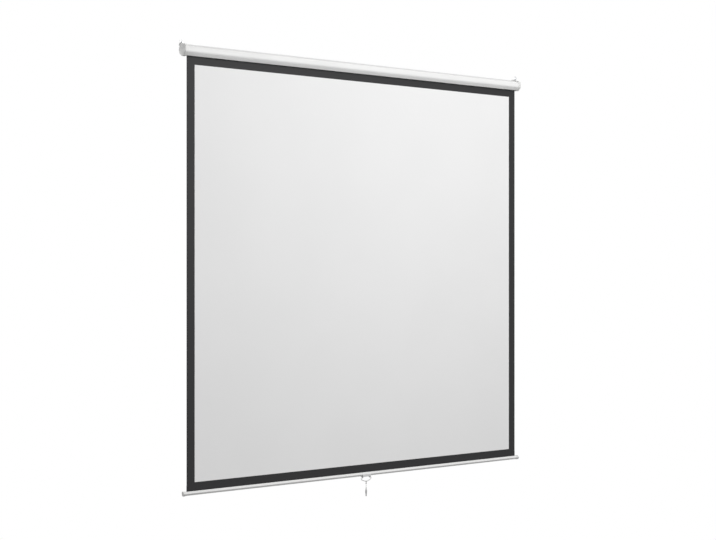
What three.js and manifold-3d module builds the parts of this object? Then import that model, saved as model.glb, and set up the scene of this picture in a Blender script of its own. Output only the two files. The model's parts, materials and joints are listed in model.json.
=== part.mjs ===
// A pull-down projection screen on a self-locking spring roller, in millimetres.
// +X runs to the right seen from the front, +Y points at the wall and +Z is up.
// The origin is the middle of the casing's flat mounting rail, which lies on the wall.
import * as THREE from "three";
import { mergeVertices } from "three/addons/utils/BufferGeometryUtils.js";
import Module from "manifold-3d";

const wasm = await Module();
wasm.setup();

// Cloth
const CLOTH_WIDTH = 2000;
const CLOTH_DROP = 2000;
const CLOTH_THICKNESS = 0.35;
const CLOTH_SETBACK = 38.5;
const BORDER_WIDTH = 40;
const BORDER_FILM = 0.1;

// Housing outline, shared by the casing and its end caps, whose tops stand a little above it
const HOUSING_DEPTH = 69;
const HOUSING_BELOW = 43;
const HOUSING_RIDGE = 27;
const CASING_DROP = 3;
const TOP_SLOPE = THREE.MathUtils.degToRad(18);
const BELLY_RADIUS = 36;
const RIDGE_RADIUS = 12;
const BROW_RADIUS = 9;
const CHIN_RISE = 19;
const CHIN_ROOM = 12.5;
const CHIN_RADIUS = 14;
const CHIN_FOOT_RADIUS = 6;

// Casing extrusion
const CASING_WALL = 1.2;
const SLOT_HALF = 7;
const LIP_TURN = 4;
const RAIL_HALF = 8;
const RAIL_BITE = 0.5;
const PORT_RADIUS = 3.4;
const PORT_BITE = 0.7;
const TOP_PORT_SETBACK = 12;
const FRONT_PORT_BELOW = 8;

// End caps and hanger plates
const END_OVERHANG = 20.65;
const CAP_SKIN = 2;
const CAP_FIT = 0.3;
const CAP_LENGTH = 15.5;
const CAP_WALL = 2.65;
const CAP_EDGE = 2;
const CAP_TURN = 5;
const PLATE_THICKNESS = 1.5;
const PLATE_HUB_RADIUS = 11;
const PLATE_ARM_RADIUS = 5.5;
const LUG_RADIUS = 5.5;
const LUG_RISE = 3.5;
const LUG_SLOT_GAP = 1.2;
const HOOK_NOTCH_DEPTH = 12;
const HOOK_NOTCH_HEIGHT = 7;
const HOOK_NOTCH_RISE = 2;
const NOTCH_ROUND = 2.5;

// Cap screws
const SCREW_HEAD_RADIUS = 3.1;
const SCREW_HEAD_HEIGHT = 1.4;
const SCREW_DOME = 0.5;
const SCREW_RADIUS = 1.35;
const SCREW_LENGTH = 13;
const SCREW_CLEARANCE = 0.3;

// Hanging rings
const WIRE_RADIUS = 1.5;
const RING_HALF = 10;
const RING_HEIGHT = 28;
const RING_CORNER = 2.6;
const RING_CROWN = 6.5;
const RING_SETBACK = 24.5;
const RING_PLAY = 0.6;

// Roller and its plugs
const TUBE_RADIUS = 13.5;
const TUBE_WALL = 1;
const TUBE_OVERHANG = 3;
const ROLLER_BELOW = 9.5;
const TURNS_THICKNESS = 0.25;
const TURNS_GAP = 0.05;
const PLUG_LENGTH = 25;
const PLUG_FLANGE = 2;
const PLUG_FIT = 0.15;
const SPRING_SEAT_RADIUS = 5.4;
const SPRING_SEAT_LENGTH = 12;

// Spindle, idle pin and their spacers
const SPINDLE_RADIUS = 3;
const SPINDLE_REACH = 250;
const TANG_THICKNESS = 3.2;
const TANG_LENGTH = 5;
const RUNNING_GAP = 0.3;
const SPACER_RADIUS = 5;
const FACE_GAP = 0.3;
const IDLE_PIN_GRIP = 14;
const ANCHOR_LENGTH = 12;
const ANCHOR_GAP = 0.4;

// Ratchet and pawls, placed about the roller's axis as [behind, above]
const RATCHET_RADIUS = 6;
const PAWL_THICKNESS = 3;
const PAWL_ORBIT = 9.8;
const PAWL_BOSS_RADIUS = 2.3;
const PAWL_ARM_RADIUS = 1.2;
const PAWL_NOSE_RADIUS = 1;
const PAWL_ELBOW = [6.5, -2.2];
const PAWL_TIP = [5.6, -4.9];
const PAWL_DROP = THREE.MathUtils.degToRad(22);
const NOTCH_GAP = 0.35;
const PAWL_PIN_RADIUS = 1;
const PAWL_PIN_HEAD = 1.9;
const PAWL_PIN_HEAD_HEIGHT = 0.8;

// Lift spring
const SPRING_CURLS = 30;
const SPRING_RADIUS = 7;
const SPRING_WIRE = 0.8;

// Bottom bar, its hem rod and its end caps
const BAR_HEIGHT = 18;
const BAR_FRONT = 13.5;
const BAR_REAR = 7.4;
const BAR_NOSE_DROP = 8;
const BAR_LIP_HALF = 4.6;
const BAR_FOOT_FRONT = 6;
const BAR_FOOT_REAR = 3.4;
const BAR_NOSE_RADIUS = 3.2;
const BAR_FOOT_RADIUS = 3.6;
const BAR_LIP_RADIUS = 1.2;
const BAR_WALL = 1.2;
const BAR_INSET = 2.2;
const BAR_SLOT_HALF = 1.2;
const ROD_RADIUS = 2.5;
const ROD_DEPTH = 5.2;
const ROD_POCKET_GAP = 0.7;
const BAR_CAP_SKIN = 1.6;
const BAR_CAP_FIT = 0.3;
const BAR_CAP_LENGTH = 12;
const BAR_CAP_EDGE = 1;

// Handle bracket and its rivets
const BRACKET_HALF = 25;
const BRACKET_FRONT = 16;
const BRACKET_REAR = 2.5;
const BRACKET_RISE = 9;
const BRACKET_BASE = 2.7;
const BRACKET_CORNER = 1.5;
const EAR_WIDTH = 5;
const EAR_RADIUS = 4.6;
const EAR_DROP = 5;
const EAR_AHEAD = 9.5;
const RIVET_SPREAD = 10;
const RIVET_AHEAD = 1.6;
const RIVET_RADIUS = 1.5;
const RIVET_HEAD_RADIUS = 3;
const RIVET_HEAD_HEIGHT = 1.2;
const RIVET_TAIL = 1.5;
const RIVET_GAP = 0.2;

// Pull handle, as shares of its half width and its drop from one end round to the middle
const BAIL_HALF = 30;
const BAIL_DROP = 22;
const BAIL_RADIUS = 2.2;
const BAIL_PLAY = 0.5;
const BAIL_PATH_SHARES = [
  [0.61, 0],
  [0.72, 0],
  [0.84, -0.01],
  [0.95, -0.1],
  [1, -0.27],
  [0.94, -0.47],
  [0.76, -0.65],
  [0.5, -0.79],
  [0.22, -0.93],
];

// Pull cord, its knot and its toggle
const CORD_RADIUS = 1;
const CORD_FREE = 17;
const CORD_GAP = 0.3;
const KNOT_RADIUS = 3.7;
const KNOT_LENGTH = 9.5;
const KNOT_PROFILE_SHARES = [
  [0, 0],
  [0.6, 0.05],
  [1, 0.3],
  [0.92, 0.55],
  [0.6, 0.8],
  [0.45, 1],
  [0, 1],
];
const TOGGLE_RADIUS = 4.6;
const TOGGLE_LENGTH = 43;
const TOGGLE_PROFILE_SHARES = [
  [0, 0],
  [0.42, 0],
  [0.52, 0.03],
  [0.5, 0.12],
  [0.78, 0.3],
  [1, 0.45],
  [0.86, 0.62],
  [0.64, 0.82],
  [0.7, 0.93],
  [0.58, 1],
  [0, 1],
];

// Cuts run past what they cut by this much, and welded points lie this close.
const OVERRUN = 1;
const WELD = 0.0001;

// Facets
const ARC_STEPS = 7;
const CUP_STEPS = 3;
const ROUND_SIDES = 24;
const SMALL_SIDES = 12;
const WIRE_SIDES = 8;
const SPRING_SIDES = 5;
const SPRING_STEPS = 8;
const BAIL_STEPS = 48;
const DROP_STEPS = 4;

// Places worked out from the sizes
const halfWidth = CLOTH_WIDTH / 2;
const endHalf = halfWidth + END_OVERHANG;
const plateInner = CAP_WALL + PLATE_THICKNESS;
const casingHalf = endHalf - plateInner - FACE_GAP;
const casingBottom = CAP_SKIN - HOUSING_BELOW;
const barTop = casingBottom - CLOTH_DROP;
const turnsRadius = TUBE_RADIUS + TURNS_GAP + TURNS_THICKNESS;
const axisY = CLOTH_THICKNESS / 2 + TURNS_GAP + turnsRadius - CLOTH_SETBACK;
const axisZ = -ROLLER_BELOW;
const tubeHalf = halfWidth + TUBE_OVERHANG;
const tubeBore = TUBE_RADIUS - TUBE_WALL;
const flangeFace = tubeHalf + PLUG_FLANGE;
const pawlOuter = RUNNING_GAP + PAWL_THICKNESS;
const barEnd = endHalf - BAR_INSET;

const casingRidge = HOUSING_RIDGE - CASING_DROP;
const casingSection = insetCorners(housing(casingRidge), CAP_SKIN);

const barSection = [
  [BAR_FOOT_REAR, -BAR_HEIGHT, BAR_FOOT_RADIUS],
  [BAR_REAR, -BAR_NOSE_DROP, BAR_NOSE_RADIUS],
  [BAR_LIP_HALF, 0, BAR_LIP_RADIUS],
  [-BAR_LIP_HALF, 0, BAR_LIP_RADIUS],
  [-BAR_FRONT, -BAR_NOSE_DROP, BAR_NOSE_RADIUS],
  [-BAR_FOOT_FRONT, -BAR_HEIGHT, BAR_FOOT_RADIUS],
];

// The screws go into the two ports that the casing carries on its top and front walls.
const topPort = [
  -TOP_PORT_SETBACK,
  topLine(casingRidge, -TOP_PORT_SETBACK, CAP_SKIN + portInset()),
];
const frontPort = [CAP_SKIN + portInset() - HOUSING_DEPTH, -FRONT_PORT_BELOW];
const ports = { top: topPort, front: frontPort };
const ringHole = [-RING_SETBACK, topLine(HOUSING_RIDGE, -RING_SETBACK, 0) + LUG_RISE];

function portInset() {
  return CASING_WALL + PORT_RADIUS - PORT_BITE;
}

// Height of a top that slopes down from its ridge, at a place in depth, sunk square to itself.
function topLine(ridge, y, inset) {
  return ridge + y * Math.tan(TOP_SLOPE) - inset / Math.cos(TOP_SLOPE);
}

// The outline seen from the end: belly at the bottom back, ridge, brow and a chin cut off flat,
// which starts a little ahead of the cloth.
function housing(ridge) {
  return [
    [0, -HOUSING_BELOW, BELLY_RADIUS],
    [0, ridge, RIDGE_RADIUS],
    [-HOUSING_DEPTH, topLine(ridge, -HOUSING_DEPTH, 0), BROW_RADIUS],
    [-HOUSING_DEPTH, CHIN_RISE - HOUSING_BELOW, CHIN_RADIUS],
    [-CLOTH_SETBACK - CHIN_ROOM, -HOUSING_BELOW, CHIN_FOOT_RADIUS],
  ];
}

// Moves every edge of a polygon inwards, or outwards where the inset is negative.
// A corner is [u, v, fillet radius], and corners run anticlockwise.
function insetCorners(corners, inset) {
  const edges = corners.map(([u, v], i) => {
    const [nextU, nextV] = corners[(i + 1) % corners.length];
    const run = Math.hypot(nextU - u, nextV - v);
    const du = (nextU - u) / run;
    const dv = (nextV - v) / run;
    return { u: u - dv * inset, v: v + du * inset, du, dv };
  });
  return corners.map(([, , radius], i) => {
    const before = edges[(i + corners.length - 1) % corners.length];
    const after = edges[i];
    const cross = before.du * after.dv - before.dv * after.du;
    const along = ((after.u - before.u) * after.dv - (after.v - before.v) * after.du) / cross;
    const u = before.u + before.du * along;
    const v = before.v + before.dv * along;
    return [u, v, Math.max(radius - inset, 0)];
  });
}

// The outline of a polygon with each corner rounded by an arc.
function rounded(corners, steps = ARC_STEPS) {
  return corners.flatMap(([u, v, radius], i) => {
    const corner = new THREE.Vector2(u, v);
    const before = corners[(i + corners.length - 1) % corners.length];
    const after = corners[(i + 1) % corners.length];
    const back = new THREE.Vector2(before[0], before[1]).sub(corner).normalize();
    const ahead = new THREE.Vector2(after[0], after[1]).sub(corner).normalize();
    if (radius === 0) return [corner];
    const half = Math.acos(back.dot(ahead)) / 2;
    const middle = back.clone().add(ahead).normalize();
    const centre = corner.clone().addScaledVector(middle, radius / Math.sin(half));
    const first = corner.clone().addScaledVector(back, radius / Math.tan(half)).sub(centre);
    const turn = Math.sign(ahead.cross(back)) * (Math.PI - 2 * half);
    return Array.from({ length: steps + 1 }, (_, k) =>
      first.clone().rotateAround(new THREE.Vector2(), (turn * k) / steps).add(centre),
    );
  });
}

// A circle whose corners lie at the radius, for a shaft.
function circle(radius, sides, u = 0, v = 0) {
  return Array.from({ length: sides }, (_, i) => {
    const angle = (2 * Math.PI * i) / sides;
    return new THREE.Vector2(u + radius * Math.cos(angle), v + radius * Math.sin(angle));
  });
}

// A circle whose flats lie at the radius, for a bore.
function bore(radius, sides, u = 0, v = 0) {
  return circle(radius / Math.cos(Math.PI / sides), sides, u, v);
}

// A straight slot with round ends between two points.
function capsule([u, v], [endU, endV], radius, steps = ARC_STEPS) {
  const heading = Math.atan2(endV - v, endU - u);
  const end = (centreU, centreV, start) =>
    Array.from({ length: steps + 1 }, (_, k) => {
      const angle = start + (Math.PI * k) / steps;
      return new THREE.Vector2(centreU + radius * Math.cos(angle), centreV + radius * Math.sin(angle));
    });
  return [...end(endU, endV, heading - Math.PI / 2), ...end(u, v, heading + Math.PI / 2)];
}

function rectangle(lowU, lowV, highU, highV) {
  return [
    new THREE.Vector2(lowU, lowV),
    new THREE.Vector2(highU, lowV),
    new THREE.Vector2(highU, highV),
    new THREE.Vector2(lowU, highV),
  ];
}

// A section drawn in depth and height, carried along X.
function prismGeometry(points, from, to, hole) {
  const shape = new THREE.Shape(points);
  if (hole) shape.holes.push(new THREE.Path(hole));
  const geometry = new THREE.ExtrudeGeometry(shape, { depth: to - from, bevelEnabled: false });
  const alongX = new THREE.Matrix4().makeBasis(
    new THREE.Vector3(0, 1, 0),
    new THREE.Vector3(0, 0, 1),
    new THREE.Vector3(1, 0, 0),
  );
  return geometry.applyMatrix4(alongX).translate(from, 0, 0);
}

function prism(points, from, to) {
  return solidOf(prismGeometry(points, from, to));
}

// A profile of [radius, height] turned about Z, from the top down.
function turnedGeometry(profile, sides) {
  const points = profile.map(([radius, height]) => new THREE.Vector2(radius, height));
  return new THREE.LatheGeometry(points.reverse(), sides).rotateX(Math.PI / 2);
}

// A closed mesh as a solid that can be cut and joined.
function solidOf(geometry) {
  const bare = geometry.clone();
  bare.deleteAttribute("normal");
  bare.deleteAttribute("uv");
  const merged = mergeVertices(bare, WELD);
  const mesh = new wasm.Mesh({
    numProp: 3,
    vertProperties: merged.attributes.position.array,
    triVerts: Uint32Array.from(merged.index.array),
  });
  return new wasm.Manifold(mesh);
}

function geometryOf(solid) {
  const { vertProperties, triVerts } = solid.getMesh();
  const indexed = new THREE.BufferGeometry();
  indexed.setAttribute("position", new THREE.BufferAttribute(vertProperties, 3));
  indexed.setIndex(new THREE.BufferAttribute(triVerts, 1));
  const geometry = indexed.toNonIndexed();
  geometry.computeVertexNormals();
  return geometry;
}

function join(solids) {
  return solids.reduce((whole, solid) => whole.add(solid));
}

function cut(whole, cutters) {
  return cutters.reduce((rest, cutter) => rest.subtract(cutter), whole);
}

// A tube of rings about a list of points, each ring spanned by its side vector and the tangent.
function tube(points, sides, radius, facets, closed) {
  const count = points.length;
  const positions = [];
  const at = (i) => points[closed ? (i + count) % count : THREE.MathUtils.clamp(i, 0, count - 1)];
  points.forEach((point, i) => {
    const tangent = at(i + 1).clone().sub(at(i - 1)).normalize();
    const across = tangent.clone().cross(sides[i]).normalize();
    for (let k = 0; k < facets; k += 1) {
      const angle = (2 * Math.PI * k) / facets;
      const spoke = sides[i].clone().multiplyScalar(radius * Math.cos(angle));
      spoke.addScaledVector(across, radius * Math.sin(angle)).add(point);
      positions.push(spoke.x, spoke.y, spoke.z);
    }
  });
  const geometry = new THREE.BufferGeometry();
  geometry.setAttribute("position", new THREE.Float32BufferAttribute(positions, 3));
  geometry.setIndex(tubeFaces(count, facets, closed));
  geometry.computeVertexNormals();
  return geometry;
}

function tubeFaces(rings, facets, closed) {
  const faces = [];
  const spans = closed ? rings : rings - 1;
  for (let i = 0; i < spans; i += 1) {
    for (let k = 0; k < facets; k += 1) {
      const a = i * facets + k;
      const b = i * facets + ((k + 1) % facets);
      const c = ((i + 1) % rings) * facets + k;
      const d = ((i + 1) % rings) * facets + ((k + 1) % facets);
      faces.push(a, b, c, b, d, c);
    }
  }
  const last = (rings - 1) * facets;
  for (let k = 1; !closed && k < facets - 1; k += 1) {
    faces.push(0, k + 1, k, last, last + k, last + k + 1);
  }
  return faces;
}

// A stack of equal outlines at places along X, closed at both ends.
function loft(outlines, places) {
  const count = outlines[0].length;
  const positions = outlines.flatMap((outline, i) => outline.flatMap(({ x, y }) => [places[i], x, y]));
  const faces = [];
  for (let i = 0; i < outlines.length - 1; i += 1) {
    for (let k = 0; k < count; k += 1) {
      const a = i * count + k;
      const b = i * count + ((k + 1) % count);
      faces.push(a, b, b + count, a, b + count, a + count);
    }
  }
  const last = (outlines.length - 1) * count;
  THREE.ShapeUtils.triangulateShape(outlines[0], []).forEach(([a, b, c]) => faces.push(a, c, b));
  THREE.ShapeUtils.triangulateShape(outlines.at(-1), []).forEach(([a, b, c]) =>
    faces.push(last + a, last + b, last + c),
  );
  const geometry = new THREE.BufferGeometry();
  geometry.setAttribute("position", new THREE.Float32BufferAttribute(positions, 3));
  geometry.setIndex(faces);
  return geometry;
}

function finish(color, roughness, metalness) {
  return new THREE.MeshStandardMaterial({ color, roughness, metalness });
}

const finishes = {
  casing: () => finish(0xf4f4f2, 0.38, 0),
  cap: () => finish(0xececea, 0.45, 0),
  plate: () => finish(0xa6a8aa, 0.42, 0.9),
  wire: () => finish(0xd4d6d8, 0.3, 0.95),
  screw: () => finish(0xb4b6b8, 0.35, 0.95),
  darkScrew: () => finish(0x3c3c3e, 0.4, 0.9),
  steel: () => finish(0x9c9fa3, 0.35, 0.95),
  spring: () => finish(0x7f8387, 0.4, 0.95),
  nylon: () => finish(0xe8e6df, 0.55, 0),
  cloth: () => finish(0xe9e9e9, 0.9, 0),
  border: () => finish(0x3a3a3c, 0.92, 0),
  bar: () => finish(0xf0f0ee, 0.4, 0),
  handle: () => finish(0xdcdcda, 0.45, 0),
  cord: () => finish(0xe6e6e4, 0.85, 0),
  toggle: () => finish(0xbfc0c2, 0.5, 0),
};

function piece(name, geometry, material, x = 0, y = 0, z = 0) {
  const mesh = new THREE.Mesh(geometry, material);
  mesh.name = name;
  mesh.position.set(x, y, z);
  return mesh;
}

function groupAt(x, y, z, children) {
  const group = new THREE.Group();
  group.position.set(x, y, z);
  group.add(...children);
  return group;
}

// A one-piece metal extrusion: a rounded shell, open below for the cloth between two turned-up
// lips, with two round screw ports inside and a flat rail along the back.
function casing() {
  const from = -casingHalf;
  const wide = casingHalf + OVERRUN;
  const hollow = rounded(insetCorners(casingSection, CASING_WALL));
  const shell = cut(prism(rounded(casingSection), from, casingHalf), [prism(hollow, -wide, wide)]);
  const lipOuter = SLOT_HALF + CASING_WALL;
  const lipTop = casingBottom + LIP_TURN;
  const lipFoot = casingBottom + CASING_WALL / 2;
  const frontLip = rectangle(-CLOTH_SETBACK - lipOuter, lipFoot, -CLOTH_SETBACK - SLOT_HALF, lipTop);
  const rearLip = rectangle(SLOT_HALF - CLOTH_SETBACK, lipFoot, lipOuter - CLOTH_SETBACK, lipTop);
  const portRods = Object.values(ports).map(([y, z]) =>
    prism(circle(PORT_RADIUS, SMALL_SIDES, y, z), from, casingHalf),
  );
  const railHalfLength = endHalf - CAP_LENGTH - FACE_GAP;
  const rail = rectangle(-CAP_SKIN - RAIL_BITE, -RAIL_HALF, 0, RAIL_HALF);
  const body = join([
    shell,
    prism(frontLip, from, casingHalf),
    prism(rearLip, from, casingHalf),
    ...portRods,
    prism(rail, -railHalfLength, railHalfLength),
  ]);
  const slot = rectangle(
    -CLOTH_SETBACK - SLOT_HALF,
    -HOUSING_BELOW,
    SLOT_HALF - CLOTH_SETBACK,
    lipTop + OVERRUN,
  );
  const bores = Object.values(ports).map(([y, z]) =>
    prism(bore(SCREW_RADIUS + SCREW_CLEARANCE, SMALL_SIDES, y, z), -wide, wide),
  );
  return piece("casing", geometryOf(cut(body, [prism(slot, -wide, wide), ...bores])), finishes.casing());
}

// A rounded outline carried inwards from X = 0, with its outer edge turned over: the quarter
// ellipse runs its turn along X and ends its edge's width inside the outline.
function roundedBlock(corners, length, edge, turn, steps) {
  const places = [-length];
  const outlines = [rounded(corners, steps)];
  for (let k = 0; k <= CUP_STEPS; k += 1) {
    const angle = (Math.PI / 2) * (k / CUP_STEPS);
    places.push(turn * (Math.sin(angle) - 1));
    outlines.push(rounded(insetCorners(corners, edge * (1 - Math.cos(angle))), steps));
  }
  return solidOf(loft(outlines, places));
}

function hookNotch(depth) {
  const corners = [
    [OVERRUN, HOOK_NOTCH_RISE, 0],
    [OVERRUN, HOOK_NOTCH_RISE + HOOK_NOTCH_HEIGHT, 0],
    [-HOOK_NOTCH_DEPTH, HOOK_NOTCH_RISE + HOOK_NOTCH_HEIGHT, NOTCH_ROUND],
    [-HOOK_NOTCH_DEPTH, HOOK_NOTCH_RISE, NOTCH_ROUND],
  ];
  return prism(rounded(corners), -depth, OVERRUN);
}

// A moulded cup over the casing's end: its outer face is X = 0. It has a slot on top for the
// plate's lug, a notch at the back for a wall hook and two sunk seats for the screw heads.
function endCap() {
  const block = roundedBlock(housing(HOUSING_RIDGE), CAP_LENGTH, CAP_EDGE, CAP_TURN, ARC_STEPS);
  const inside = rounded(insetCorners(housing(casingRidge), CAP_SKIN - CAP_FIT));
  const lugSlot = capsule([axisY, axisZ], ringHole, LUG_RADIUS + LUG_SLOT_GAP);
  const seats = Object.values(ports).flatMap(([y, z]) => [
    prism(bore(SCREW_HEAD_RADIUS + SCREW_CLEARANCE, ROUND_SIDES, y, z), -SCREW_HEAD_HEIGHT, OVERRUN),
    prism(bore(SCREW_RADIUS + SCREW_CLEARANCE, SMALL_SIDES, y, z), -CAP_LENGTH, OVERRUN),
  ]);
  const cutters = [
    prism(inside, -CAP_LENGTH - OVERRUN, -CAP_WALL),
    prism(lugSlot, -plateInner - LUG_SLOT_GAP, -CAP_WALL),
    hookNotch(plateInner),
    ...seats,
  ];
  return geometryOf(cut(block, cutters));
}

// A stamped steel plate inside the cap: arms to the roller's axis, both screws, the back edge
// and the lug that stands out of the cap's top. The spindle's seat is cut by its own outline.
function hangerPlate(spindleSeat) {
  const from = -plateInner;
  const to = -CAP_WALL;
  const axis = [axisY, axisZ];
  const inside = prism(rounded(casingSection), from, to);
  const backBlock = rectangle(axisY, axisZ - PLATE_HUB_RADIUS, 0, topPort[1]);
  const arms = join([
    prism(circle(PLATE_HUB_RADIUS, ROUND_SIDES, ...axis), from, to),
    prism(capsule(axis, topPort, PLATE_ARM_RADIUS), from, to),
    prism(capsule(axis, frontPort, PLATE_ARM_RADIUS), from, to),
    prism(backBlock, from, to),
  ]).intersect(inside);
  const lug = prism(capsule(axis, ringHole, LUG_RADIUS), from, to);
  const screwHoles = Object.values(ports).map(([y, z]) =>
    prism(bore(SCREW_RADIUS + SCREW_CLEARANCE, SMALL_SIDES, y, z), from - OVERRUN, to + OVERRUN),
  );
  const ringBore = bore(WIRE_RADIUS + RING_PLAY, SMALL_SIDES, ...ringHole);
  const cutters = [
    prism(spindleSeat, from - OVERRUN, to + OVERRUN),
    prism(ringBore, from - OVERRUN, to + OVERRUN),
    hookNotch(plateInner + OVERRUN),
    ...screwHoles,
  ];
  return geometryOf(cut(arms.add(lug), cutters));
}

// A domed screw along X with its head's outer face at X = 0.
function capScrew() {
  const profile = [
    [0, -SCREW_LENGTH],
    [SCREW_RADIUS / 2, -SCREW_LENGTH],
    [SCREW_RADIUS, SCREW_RADIUS - SCREW_LENGTH],
    [SCREW_RADIUS, -SCREW_HEAD_HEIGHT],
    [SCREW_HEAD_RADIUS, -SCREW_HEAD_HEIGHT],
    [SCREW_HEAD_RADIUS, -SCREW_DOME],
    [SCREW_HEAD_RADIUS / 2, -SCREW_DOME / 4],
    [0, 0],
  ];
  return turnedGeometry(profile.reverse(), SMALL_SIDES).rotateY(Math.PI / 2);
}

// A closed triangle of wire with a round crown, standing up from its straight side, which runs
// through the lug.
function hangingRing() {
  const corners = [
    [-RING_HALF, 0, RING_CORNER],
    [RING_HALF, 0, RING_CORNER],
    [0, RING_HEIGHT, RING_CROWN],
  ];
  const points = rounded(corners).map(({ x, y }) => new THREE.Vector3(x, 0, y));
  const sides = points.map(() => new THREE.Vector3(0, 1, 0));
  return tube(points, sides, WIRE_RADIUS, WIRE_SIDES, true);
}

// Everything on one end of the casing, with the cap's outer face at X = 0.
function casingEnd(name, spindleSeat) {
  const screwFinishes = { top: finishes.darkScrew, front: finishes.screw };
  const screws = Object.entries(ports).map(([place, [y, z]]) =>
    piece(`cap_screw_${name}_${place}`, capScrew(), screwFinishes[place](), 0, y, z),
  );
  const [ringY, ringZ] = ringHole;
  const ringX = -CAP_WALL - PLATE_THICKNESS / 2;
  return groupAt(endHalf, 0, 0, [
    piece(`end_cap_${name}`, endCap(), finishes.cap()),
    piece(`hanger_plate_${name}`, hangerPlate(spindleSeat), finishes.plate()),
    piece(`hanging_ring_${name}`, hangingRing(), finishes.wire(), ringX, ringY, ringZ),
    ...screws,
  ]);
}

function rollerTube() {
  const outline = circle(TUBE_RADIUS, ROUND_SIDES);
  const geometry = prismGeometry(outline, -tubeHalf, tubeHalf, circle(tubeBore, ROUND_SIDES));
  return piece("roller_tube", geometry, finishes.steel());
}

// The turns of cloth that stay on the tube when the screen is pulled right down.
function clothTurns() {
  const inner = circle(TUBE_RADIUS + TURNS_GAP, ROUND_SIDES);
  const geometry = prismGeometry(circle(turnsRadius, ROUND_SIDES), -halfWidth, halfWidth, inner);
  return piece("cloth_turns", geometry, finishes.cloth());
}

// A flanged plug for the tube's end, with its flange's outer face at X = 0 and the tube at +X.
function plugBlank() {
  const plugRadius = (tubeBore - PLUG_FIT) * Math.cos(Math.PI / ROUND_SIDES);
  return join([
    prism(circle(TUBE_RADIUS, ROUND_SIDES), 0, PLUG_FLANGE),
    prism(circle(plugRadius, ROUND_SIDES), PLUG_FLANGE / 2, PLUG_FLANGE + PLUG_LENGTH),
  ]);
}

function springPlug() {
  const seatEnd = PLUG_FLANGE + PLUG_LENGTH + SPRING_SEAT_LENGTH;
  const seat = prism(circle(SPRING_SEAT_RADIUS, ROUND_SIDES), PLUG_FLANGE, seatEnd);
  const spindleBore = bore(SPINDLE_RADIUS + RUNNING_GAP, ROUND_SIDES);
  const pinBores = [PAWL_ORBIT, -PAWL_ORBIT].map((z) =>
    prism(bore(PAWL_PIN_RADIUS + PLUG_FIT, SMALL_SIDES, 0, z), -OVERRUN, PLUG_FLANGE + OVERRUN),
  );
  const body = plugBlank().add(seat);
  return geometryOf(cut(body, [prism(spindleBore, -OVERRUN, seatEnd + OVERRUN), ...pinBores]));
}

function idlePlug() {
  const pinBore = bore(SPINDLE_RADIUS + RUNNING_GAP, ROUND_SIDES);
  return geometryOf(cut(plugBlank(), [prism(pinBore, -OVERRUN, IDLE_PIN_GRIP + FACE_GAP)]));
}

// From the flange's face out to the far side of the hanger plate.
function plateReach() {
  return endHalf - CAP_WALL - flangeFace;
}

// A tang's section: the shaft with two flats.
function tangOutline(extra) {
  const half = TANG_THICKNESS / 2 + extra;
  const reach = Math.sqrt((SPINDLE_RADIUS + extra) ** 2 - half ** 2);
  return rectangle(-reach, -half, reach, half);
}

// A fixed shaft down the middle of the spring, flattened where the left plate grips it.
function spindle() {
  const out = -plateReach();
  const tangEnd = out + TANG_LENGTH;
  const round = prism(circle(SPINDLE_RADIUS, SMALL_SIDES), tangEnd, SPINDLE_REACH);
  return geometryOf(round.add(prism(tangOutline(0), out, tangEnd)));
}

// A point of the pawl, turned about its pivot and placed about the roller's axis.
function pawlPoint([y, z], angle) {
  const turned = new THREE.Vector2(y, z).rotateAround(new THREE.Vector2(), angle);
  return [turned.x, turned.y + PAWL_ORBIT];
}

// The space that the pawl's nose sweeps as it drops, with room around it.
function noseSweep() {
  const radius = PAWL_NOSE_RADIUS + NOTCH_GAP;
  const noses = Array.from({ length: DROP_STEPS + 1 }, (_, k) => {
    const angle = (-PAWL_DROP * k) / DROP_STEPS;
    const nose = capsule(pawlPoint(PAWL_ELBOW, angle), pawlPoint(PAWL_TIP, angle), radius);
    return prism(nose, -pawlOuter - OVERRUN, OVERRUN);
  });
  return join(noses);
}

// A collar fixed to the spindle, with two notches that the pawls drop into.
function ratchetCollar() {
  const disc = prism(circle(RATCHET_RADIUS, ROUND_SIDES), -pawlOuter, -RUNNING_GAP);
  const shaft = prism(bore(SPINDLE_RADIUS + PLUG_FIT, SMALL_SIDES), -pawlOuter - OVERRUN, OVERRUN);
  const notch = noseSweep();
  return geometryOf(cut(disc, [shaft, notch, notch.rotate([180, 0, 0])]));
}

// A bell-crank pawl about its own pivot: a boss, an arm out to the elbow and a nose turned in.
function pawl() {
  const from = -pawlOuter;
  const to = -RUNNING_GAP;
  const pivot = [0, 0];
  const body = join([
    prism(circle(PAWL_BOSS_RADIUS, SMALL_SIDES), from, to),
    prism(capsule(pivot, PAWL_ELBOW, PAWL_ARM_RADIUS), from, to),
    prism(capsule(PAWL_ELBOW, PAWL_TIP, PAWL_NOSE_RADIUS), from, to),
  ]);
  const pinBore = prism(bore(PAWL_PIN_RADIUS + RUNNING_GAP, SMALL_SIDES), from - OVERRUN, OVERRUN);
  return geometryOf(cut(body, [pinBore]));
}

function pawlPin() {
  const headInner = -pawlOuter - RUNNING_GAP;
  return geometryOf(
    join([
      prism(circle(PAWL_PIN_RADIUS, SMALL_SIDES), headInner, PLUG_FLANGE),
      prism(circle(PAWL_PIN_HEAD, SMALL_SIDES), headInner - PAWL_PIN_HEAD_HEIGHT, headInner),
    ]),
  );
}

// A sleeve between the hanger plate and what turns, which ends at a place along X.
function spacer(to) {
  const from = PLATE_THICKNESS + FACE_GAP - plateReach();
  const sleeve = prism(circle(SPACER_RADIUS, ROUND_SIDES), from, to);
  const shaft = bore(SPINDLE_RADIUS + PLUG_FIT, SMALL_SIDES);
  return geometryOf(cut(sleeve, [prism(shaft, -plateReach() - OVERRUN, OVERRUN)]));
}

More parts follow.
